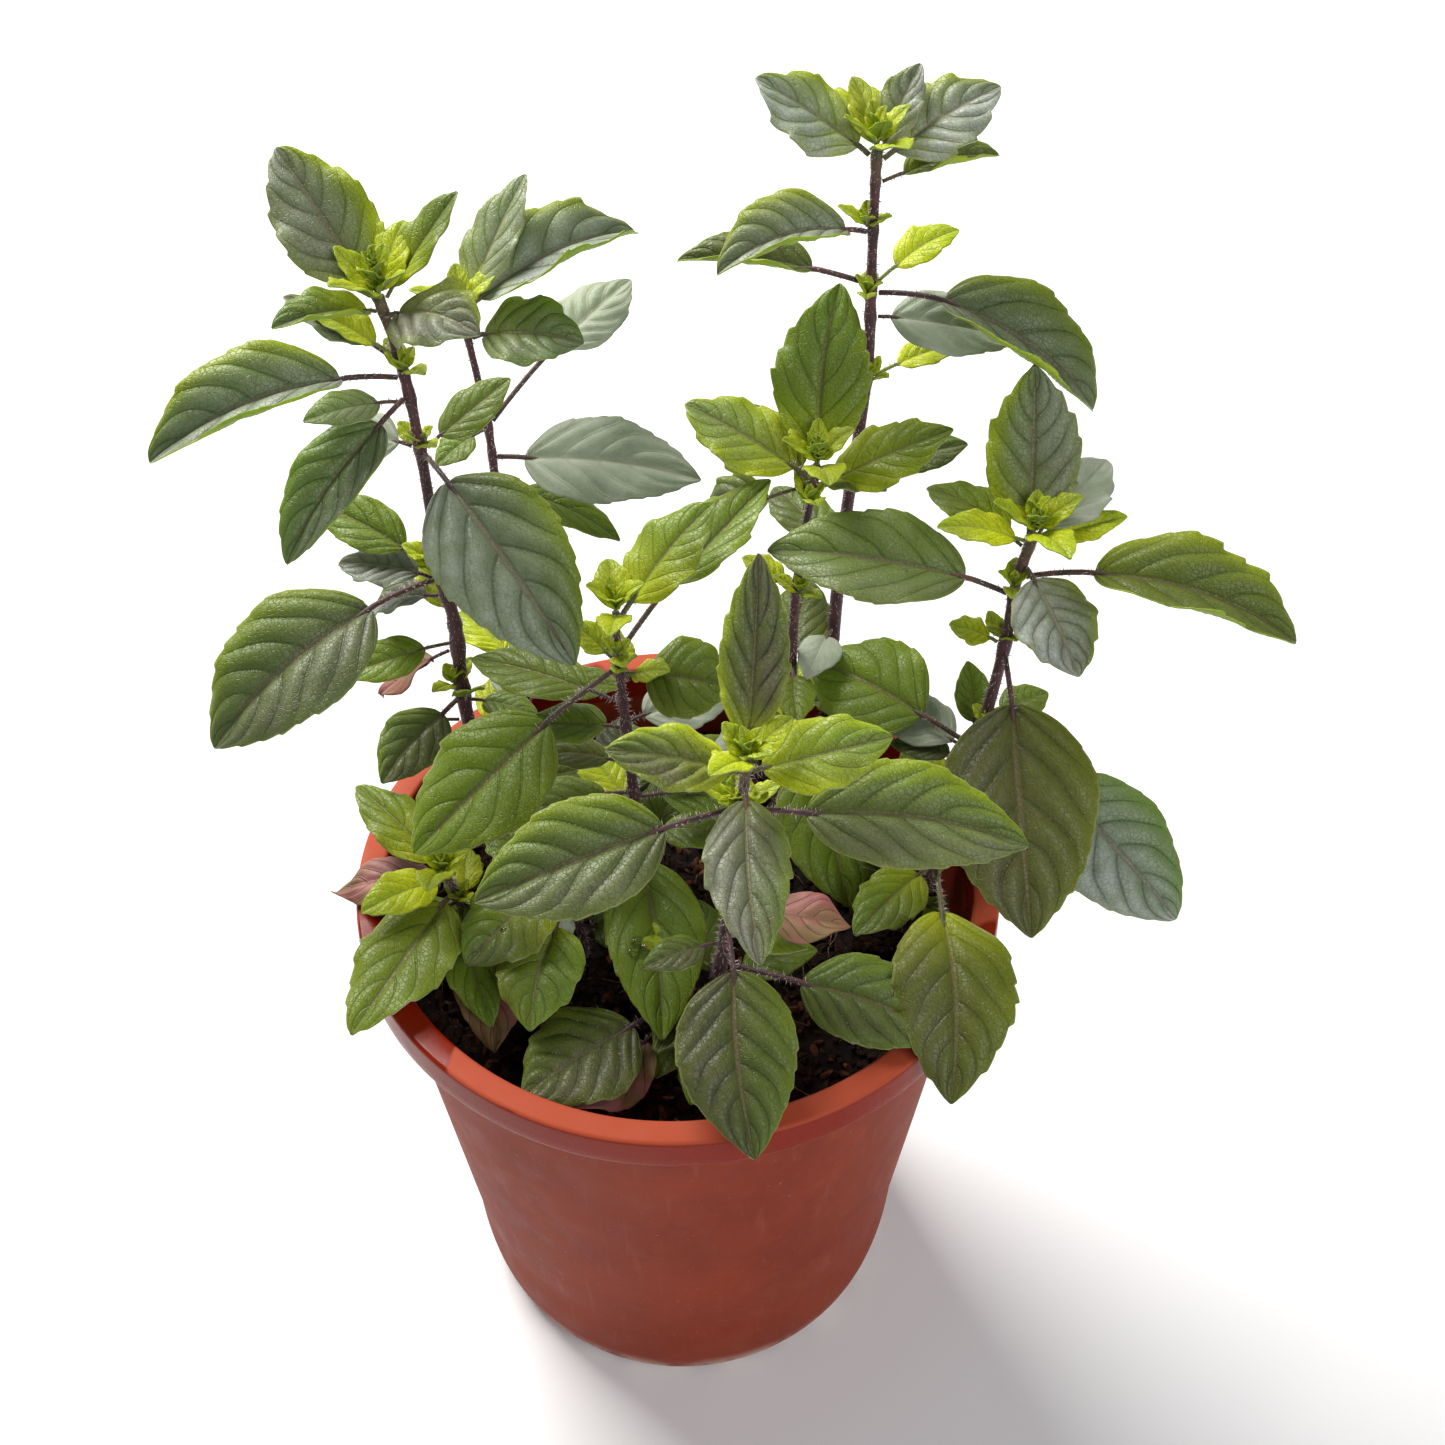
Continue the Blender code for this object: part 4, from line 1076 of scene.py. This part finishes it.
def make_shoots(shared):
    """Growing tips with their flower spikes, and the young shoots beside the stalks."""
    # Young leaves' undersides are the bright one: painted light shining through the blade
    young = [shared["top"], shared["bright"], shared["stalk"], shared["hair"]]
    for number, (stem, size, heading) in enumerate(SHOOT_TIPS):
        build = Build()
        chance = random.Random(TIP_SEED + number)
        origin = Vector(STEMS[stem][1][-1]) - Vector((0, 0, 1.0))
        add_cluster(build, origin, heading, size, chance, pairs=4)
        if stem in SPIKES:
            add_spike(build, origin + Vector((0, 0, 2)), SPIKES[stem], chance)
        build.finish("shoot_tip_" + stem[5:], young, "leaf_green")
    for number, (stem, height, heading, size) in enumerate(SIDE_SHOOTS):
        build = Build()
        turn = math.radians(heading)
        out = Vector((math.cos(turn), math.sin(turn), 0.3))
        origin = stem_point(stem, height) + out * (stem_radius(stem, height) + 0.5)
        add_cluster(build, origin, heading + 20, size, random.Random(SIDE_SHOOT_SEED + number))
        build.finish(f"side_shoot_{number + 1}", young, "leaf_green")


def make_stems(shared):
    for number, name in enumerate(STEMS):
        chance = random.Random(STEM_SEED + number)
        route = stem_route(name, 10)
        nodes = sorted({row[1] for row in {**LEAVES, **SMALL_LEAVES}.values() if row[0] == name})
        radii = []
        for place in route:
            swell = sum(NODE_SWELL * math.exp(-((place.z - node) / NODE_LENGTH) ** 2) for node in nodes)
            radii.append(stem_radius(name, place.z) * (1 + min(swell, MOST_SWELL)))
        build = Build()
        verts, faces = tube(route, radii, 14)
        youth = [[0.5, 0.5, max(0.0, (v.z - route[-1].z + 10) / 40)] for v in verts]
        build.add(verts, faces, 0, np.array(youth))
        add_hairs(build, route, radii, STEM_HAIRS_PER_MM, chance, 1)
        build.finish(name + "_skin", [shared["stalk"], shared["hair"]], "stem", name)


# ---------------------------------------------------------------- pot

RIM_DEPTH = 9
STEP_DEPTH = 4
STEP_RADIUS = 76
RIM_INNER_RADIUS = 73
WALL_TOP_RADIUS = 73.5
WALL_FOOT_RADIUS = 60.5
FOOT_ROUND = 30
BASE_RADIUS = 54
WALL = 2.5
FLOOR = 4
POT_SEGMENTS = 224
RIM_ROUND = 1.2
RIM_FOOT_ROUND = 1.4
RIM_LEAN = 0.3  # how far the rim's outside leans in on its way up
RIM_INSIDE_DEPTH = 5
STEP_ROUND = 1.0
STANDING_RING = 5.5  # from the ring that the pot stands on to the base's edge
UNDERSIDE_HOLLOW = 0.6
SCUFF_HEIGHT = 0.012  # metres
DROP_SEED = 41
RIM_DROPS = 46
FIRST_DROP = -132  # heading
DROPS_SPAN = 52
AXIS = 0.01  # a profile stops this far from the axis


def arc(centre, radius, start, end, steps):
    """Points on a circular arc in the turned profile, angles in degrees."""
    points = []
    for step in range(steps + 1):
        turn = math.radians(start + (end - start) * step / steps)
        points.append((centre[0] + radius * math.cos(turn), centre[1] + radius * math.sin(turn)))
    return points


def rounded_foot(base, wall, height, steps):
    points = []
    for step in range(steps + 1):
        turn = math.pi / 2 * step / steps
        points.append((base + (wall - base) * math.sin(turn), height * (1 - math.cos(turn))))
    return points


def spaced(first, last, steps):
    """Points between two profile points, without the first."""
    return [(first[0] + (last[0] - first[0]) * k / steps, first[1] + (last[1] - first[1]) * k / steps)
            for k in range(1, steps + 1)]


def pot_profile():
    step_top = POT_HEIGHT - RIM_DEPTH
    step_foot = step_top - STEP_DEPTH
    ring = BASE_RADIUS - STANDING_RING
    outside = [(AXIS, UNDERSIDE_HOLLOW), (ring - 1.5, UNDERSIDE_HOLLOW), (ring, 0.0)]
    outside += rounded_foot(BASE_RADIUS, WALL_FOOT_RADIUS, FOOT_ROUND, 14)
    outside += spaced(outside[-1], (WALL_TOP_RADIUS, step_foot), 26)
    outside += arc((STEP_RADIUS - STEP_ROUND, step_foot + STEP_ROUND), STEP_ROUND, -60, 0, 3)
    outside += [(STEP_RADIUS, step_top - 0.5), (STEP_RADIUS + 0.4, step_top)]
    rim_foot, rim_head = step_top + RIM_FOOT_ROUND, POT_HEIGHT - RIM_ROUND
    outer = RIM_RADIUS - RIM_LEAN
    outside += arc((RIM_RADIUS - RIM_FOOT_ROUND, rim_foot), RIM_FOOT_ROUND, -70, 0, 4)
    outside += spaced((RIM_RADIUS, rim_foot), (outer, rim_head), 3)
    outside += arc((outer - RIM_ROUND, rim_head), RIM_ROUND, 10, 90, 6)
    inside = arc((RIM_INNER_RADIUS + RIM_ROUND, rim_head), RIM_ROUND, 90, 180, 5)
    inner_top = (WALL_TOP_RADIUS - WALL, step_foot)
    inside += [(RIM_INNER_RADIUS, POT_HEIGHT - RIM_INSIDE_DEPTH), inner_top]
    inside += spaced(inner_top, (WALL_FOOT_RADIUS - WALL, FOOT_ROUND + FLOOR), 10)
    foot = rounded_foot(BASE_RADIUS - WALL, WALL_FOOT_RADIUS - WALL, FOOT_ROUND, 6)
    inside += [(radius, height + FLOOR) for radius, height in reversed(foot)]
    return outside + inside + [(AXIS, FLOOR)]


def turned_piece(profile, segments, unevenness):
    """A solid of revolution whose radius may vary a little with angle and height."""
    verts = []
    for radius, height in profile:
        for k in range(segments):
            turn = 2 * math.pi * k / segments
            verts.append(on_circle(radius + unevenness(turn, height, radius), turn, height))
    return verts, ring_faces(len(profile), segments)


# Colours of the pot
DARK_BRICK = (0.205, 0.025, 0.008, 1)
LIGHT_BRICK = (0.262, 0.035, 0.011, 1)
DUST = (0.33, 0.080, 0.040, 1)
STREAKS = (0.36, 0.095, 0.050, 1)
SPECKS = (0.48, 0.22, 0.14, 1)
SCUFFS = (0.60, 0.42, 0.34, 1)
WET_BAND = (0.225, 0.012, 0.0005, 1)
LIT_DRY_RIM = (0.44, 0.072, 0.030, 1)


def pot_material():
    n = Nodes("pot_plastic")
    split = n.new("ShaderNodeSeparateXYZ")
    n.link(n.place(), split.inputs[0])
    z = split.outputs["Z"]
    cloud = n.noise(28.0, 5.0, 0.6)
    dust = n.noise(95.0, 6.0, 0.65)
    streaks = n.noise(1.0, 4.0, 0.6, coordinates=n.stretched((300.0, 300.0, 16.0)))
    speck = n.noise(900.0, 2.0, 0.6)
    base = n.mix(n.ramp(cloud, 0.3, 0.7), DARK_BRICK, LIGHT_BRICK)
    base = n.stain(base, n.ramp(dust, 0.45, 0.75), 0.30, DUST)
    base = n.stain(base, n.ramp(streaks, 0.56, 0.74), 0.28, STREAKS)
    base = n.stain(base, n.ramp(speck, 0.66, 0.76), 0.35, SPECKS)
    scuff = n.times(n.ramp(z, SCUFF_HEIGHT, 0.001), n.ramp(dust, 0.35, 0.6))
    base = n.mix(scuff, base, SCUFFS)
    rim_foot = (POT_HEIGHT - RIM_DEPTH) * MM
    band = n.ramp(z, rim_foot - 0.0005, rim_foot + 0.0005)
    base = n.mix(band, base, WET_BAND)
    # The rim's top, away from the wet splashes, is painted much lighter than the wall: its dry colour with
    # painted light from the sky above
    rim_top = n.ramp(z, POT_HIGH[2] - 0.0009, POT_HIGH[2] - 0.0003)
    splash = n.ramp(n.noise(26.0, 2.0, 0.4), 0.53, 0.55)
    lit_dry_top = n.times(rim_top, n.math("SUBTRACT", 1.0, splash))
    base = n.mix(lit_dry_top, base, LIT_DRY_RIM)
    rough = n.ramp(dust, 0.3, 0.7, 0.55, 0.70)
    wet = n.math("SUBTRACT", band, lit_dry_top)
    n.set(Base_Color=base, Roughness=n.math("MULTIPLY_ADD", wet, -0.38, rough))
    n.set(Specular_IOR_Level=0.18)
    relief = n.math("MULTIPLY_ADD", streaks, 0.5, n.times(speck, 0.35))
    n.bump(relief, 0.00012, 0.6)
    return n.material


def make_pot():
    def unevenness(turn, height, radius):
        if radius < 20:
            return 0.0
        return 0.10 * math.sin(3 * turn + 0.6) + 0.06 * math.sin(7 * turn + height * 0.05)
    build = Build()
    verts, faces = turned_piece(pot_profile(), POT_SEGMENTS, unevenness)
    build.add(verts, faces, 0)
    pot = build.finish("pot_shell", [pot_material()], "pot", "pot")
    pot.data.set_sharp_from_angle(angle=math.radians(40))
    return pot


def water_material():
    n = Nodes("water")
    ripple = n.noise(500.0)
    n.set(Base_Color=n.mix(ripple, (0.95, 0.97, 0.98, 1), (1.0, 1.0, 1.0, 1)))
    n.set(Roughness=0.03, IOR=1.33, Transmission_Weight=1.0)
    return n.material


def drop_shape(place, out, size, chance):
    """A flattened bead of water sitting on a surface whose normal is out."""
    points, faces = icosphere(3)
    turn = out.to_track_quat("Z", "Y").to_matrix()
    verts = []
    for p in points:
        wobble = 1 + 0.10 * math.sin(3 * p.x + chance.uniform(0, 0.2)) * p.y
        verts.append(place + turn @ Vector((p.x * size * wobble, p.y * size, p.z * size * 0.55)))
    return verts, faces


def make_drops(surfaces):
    """Beads under the rim, where water has run over it, and water standing on two leaves."""
    chance = random.Random(DROP_SEED)
    build = Build()
    step_top = POT_HEIGHT - RIM_DEPTH
    for _ in range(RIM_DROPS):
        turn = math.radians(FIRST_DROP + DROPS_SPAN * chance.random())
        height = step_top - chance.choice((0.6, 0.9, 4.6, 5.2)) - chance.uniform(0, 0.5)
        radius = STEP_RADIUS if height > step_top - STEP_DEPTH else WALL_TOP_RADIUS
        out = Vector((math.cos(turn), math.sin(turn), 0.0))
        place = out * radius + Vector((0, 0, height))
        verts, faces = drop_shape(place, out, chance.uniform(0.35, 0.9), chance)
        build.add(verts, faces, 0)
    for name, along, across, size in LEAF_DROPS:
        points, normals = surfaces[name]
        row = round(along * (points.shape[0] - 1))
        column = round((across * 0.5 + 0.5) * (points.shape[1] - 1))
        place, out = Vector(points[row, column]), Vector(normals[row, column])
        verts, faces = drop_shape(place, out if out.z > 0 else -out, size, chance)
        build.add(verts, faces, 0)
    build.finish("water_drops", [water_material()], "pot")


# ---------------------------------------------------------------- potting mix

SOIL_RINGS = 60
SOIL_SEGMENTS = 160
SOIL_CLEARANCE = 1.2  # between the potting mix and the wall
CHIP_SEED = 60
FIBRE_SEED = 77

# Chips: piece, number, shortest and longest, breadth and thickness to length, darkest, lightest
CHIPS = (
    ("husk_dark", 2200, (0.9, 3.0), (0.5, 0.35), (0.010, 0.004, 0.002, 1), (0.050, 0.020, 0.010, 1)),
    ("husk_brown", 700, (0.7, 2.3), (0.45, 0.30), (0.06, 0.020, 0.008, 1), (0.17, 0.060, 0.022, 1)),
    ("husk_orange", 160, (0.6, 2.0), (0.4, 0.25), (0.22, 0.08, 0.025, 1), (0.40, 0.18, 0.07, 1)),
)
CHIPS_REACH = 67
CHIP_TILT = 0.6  # radians
FIBRES = 110
FIBRES_REACH = 64
FIBRE_RADIUS = 0.16


def soil_material(name, low, high, scale):
    n = Nodes(name)
    grain = n.noise(scale, 6.0, 0.7)
    fine = n.noise(scale * 5, 4.0, 0.7)
    colour = n.mix(n.ramp(grain, 0.35, 0.68), low, high)
    brighter = (high[0] * 1.6, high[1] * 1.5, high[2] * 1.4, 1)
    colour = n.stain(colour, n.ramp(fine, 0.55, 0.8), 0.5, brighter)
    n.set(Base_Color=colour, Roughness=n.ramp(fine, 0.3, 0.7, 0.55, 0.9))
    n.set(Specular_IOR_Level=0.2)
    n.bump(n.math("MULTIPLY_ADD", fine, 0.4, grain), 0.0008, 1.0)
    return n.material


def soil_height(x, y):
    """Lumps of the potting mix over its mean level, in millimetres."""
    lumps = 1.3 * math.sin(x * 0.13 + 1.1) * math.sin(y * 0.11 + 0.4)
    lumps += 0.8 * math.sin(x * 0.31 + y * 0.17) + 0.6 * math.sin(y * 0.43 - x * 0.22 + 2.0)
    lumps += 0.45 * math.sin(x * 0.9 + 1.0) * math.sin(y * 1.1)
    return lumps + 0.25 * math.sin(x * 2.3 + y * 1.9)


def make_soil():
    rings, segments = SOIL_RINGS, SOIL_SEGMENTS
    top_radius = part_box("potting_mix")[1][0] / MM
    top_radius = min(top_radius, WALL_TOP_RADIUS - WALL - SOIL_CLEARANCE)
    build = Build()
    turns = [2 * math.pi * k / segments for k in range(segments)]
    verts, faces = [(0.0, 0.0, SOIL_LEVEL + soil_height(0, 0))], []
    for ring in range(1, rings + 1):
        for turn in turns:
            x, y, _ = on_circle(top_radius * ring / rings, turn)
            verts.append((x, y, SOIL_LEVEL - 0.8 + soil_height(x, y)))
    for ring in range(rings - 1):
        for k in range(segments):
            a, b = 1 + ring * segments + k, 1 + ring * segments + (k + 1) % segments
            faces.append((a, a + segments, b + segments, b))
    faces += [(0, 1 + k, 1 + (k + 1) % segments) for k in range(segments)]
    last = 1 + (rings - 1) * segments
    low = len(verts)
    low_radius = WALL_FOOT_RADIUS - WALL - 1
    verts += [on_circle(low_radius, turn, FLOOR + FOOT_ROUND) for turn in turns]
    for k in range(segments):
        after = (k + 1) % segments
        faces.append((last + k, low + k, low + after, last + after))
    faces.append(tuple(range(low, low + segments))[::-1])
    build.add(verts, faces, 0)
    # Near-black: the mix's own dark moist brown with painted shade of the leaves over it
    dark = soil_material("soil", (0.003, 0.0015, 0.001, 1), (0.020, 0.009, 0.005, 1), 350.0)
    build.finish("soil_bed", [dark], "potting_mix", "potting_mix")


def chip_shape(place, size, chance):
    """An irregular flat husk chip: a squashed, bent block with rough corners."""
    points, faces = icosphere(1)
    turn = Matrix.Rotation(chance.uniform(0, 6.28), 3, "Z")
    turn = turn @ Matrix.Rotation(chance.uniform(-CHIP_TILT, CHIP_TILT), 3, "X")
    turn = turn @ Matrix.Rotation(chance.uniform(-CHIP_TILT, CHIP_TILT), 3, "Y")
    verts = []
    for p in points:
        rough = 1 + chance.uniform(-0.3, 0.3)
        bent = p.x * p.x * 0.3
        verts.append(place + turn @ Vector((p.x * size[0] * rough, p.y * size[1] * rough,
                                            (p.z * size[2] + bent * size[2]) * rough)))
    return verts, faces


def scattered(chance, reach):
    """A random place on the potting mix, evenly spread over a disc."""
    radius, turn = reach * math.sqrt(chance.random()), chance.uniform(0, 2 * math.pi)
    return radius * math.cos(turn), radius * math.sin(turn)


def make_chips():
    for order, (name, number, lengths, flat, low, high) in enumerate(CHIPS):
        chance = random.Random(CHIP_SEED + order)
        build = Build()
        for _ in range(number):
            x, y = scattered(chance, CHIPS_REACH)
            length = chance.uniform(*lengths)
            place = Vector((x, y, SOIL_LEVEL - 0.6 + soil_height(x, y) + length * 0.15))
            verts, faces = chip_shape(place, (length, length * flat[0], length * flat[1]), chance)
            build.add(verts, faces, 0)
        piece = build.finish(name, [soil_material(name, low, high, 500.0)], "potting_mix")
        piece.data.set_sharp_from_angle(angle=math.radians(30))


def make_fibres():
    chance = random.Random(FIBRE_SEED)
    build = Build()
    for _ in range(FIBRES):
        x, y = scattered(chance, FIBRES_REACH)
        heading, length = chance.uniform(0, 2 * math.pi), chance.uniform(5, 14)
        route = []
        for k in range(6):
            along = (k / 5 - 0.5) * length
            px = x + along * math.cos(heading) + 0.6 * math.sin(k * 1.3)
            py = y + along * math.sin(heading) + 0.6 * math.cos(k * 1.7)
            route.append(Vector((px, py, SOIL_LEVEL + 0.2 + soil_height(px, py) + 0.5 * math.sin(k * 0.9))))
        verts, faces = tube(route, [FIBRE_RADIUS] * len(route), 5)
        build.add(verts, faces, 0)
    coir = soil_material("coir", (0.16, 0.08, 0.035, 1), (0.40, 0.25, 0.12, 1), 600.0)
    build.finish("coir_fibres", [coir], "potting_mix")


# ---------------------------------------------------------------- studio

WORLD_STRENGTH = 0.24
LIGHT_SIZE = 0.9
KEY_WATTS = 43.0
FILL_WATTS = 9.0
AIM = (0, 0, 0.17)
LENS = 49.8
SENSOR = 36.0
CAMERA_PLACE = (0.011, -0.325, 0.528)
LOOKING_DOWN = 45.1  # degrees


def floor_material():
    n = Nodes("studio_floor")
    tone = n.noise(3.0, 2.0)
    n.set(Base_Color=n.mix(tone, (0.86, 0.86, 0.86, 1), (0.88, 0.88, 0.88, 1)), Roughness=0.9)
    return n.material


def make_studio():
    mesh = bpy.data.meshes.new("floor")
    form = bmesh.new()
    bmesh.ops.create_grid(form, x_segments=1, y_segments=1, size=3.0)
    form.to_mesh(mesh)
    form.free()
    floor = bpy.data.objects.new("floor", mesh)
    floor.location.z = -0.0005
    mesh.materials.append(floor_material())
    bpy.context.collection.objects.link(floor)
    scene = bpy.context.scene
    scene.view_settings.view_transform = "Standard"
    world = bpy.data.worlds.new("studio")
    scene.world = world
    world.use_nodes = True
    background = world.node_tree.nodes["Background"]
    background.inputs["Color"].default_value = (0.93, 0.96, 1.0, 1.0)
    background.inputs["Strength"].default_value = WORLD_STRENGTH
    add_area("key", (-0.65, 0.85, 1.25), KEY_WATTS, (1.0, 0.98, 0.95))
    add_area("fill", (0.7, -0.9, 0.9), FILL_WATTS, (0.98, 0.98, 1.0))


def add_area(name, place, power, colour):
    light = bpy.data.lights.new(name, "AREA")
    light.size = LIGHT_SIZE
    light.energy = power
    light.color = colour
    lamp = bpy.data.objects.new(name, light)
    lamp.location = place
    aim = Vector(AIM) - Vector(place)
    lamp.rotation_euler = aim.to_track_quat("-Z", "Y").to_euler()
    bpy.context.collection.objects.link(lamp)


def make_camera():
    """A little above arm's length, looking down at about 45 degrees."""
    camera = bpy.data.cameras.new("camera")
    camera.lens = LENS
    camera.sensor_width = SENSOR
    camera.clip_start = 0.01
    holder = bpy.data.objects.new("camera", camera)
    holder.location = CAMERA_PLACE
    holder.rotation_euler = (math.radians(90 - LOOKING_DOWN), 0.0, 0.0)
    bpy.context.collection.objects.link(holder)
    bpy.context.scene.camera = holder


make_camera()
make_pot()
make_soil()
make_chips()
make_fibres()
materials = leaf_materials()
make_stems(materials)
leaf_surfaces = make_leaves(materials)
make_shoots(materials)
make_drops(leaf_surfaces)
make_studio()
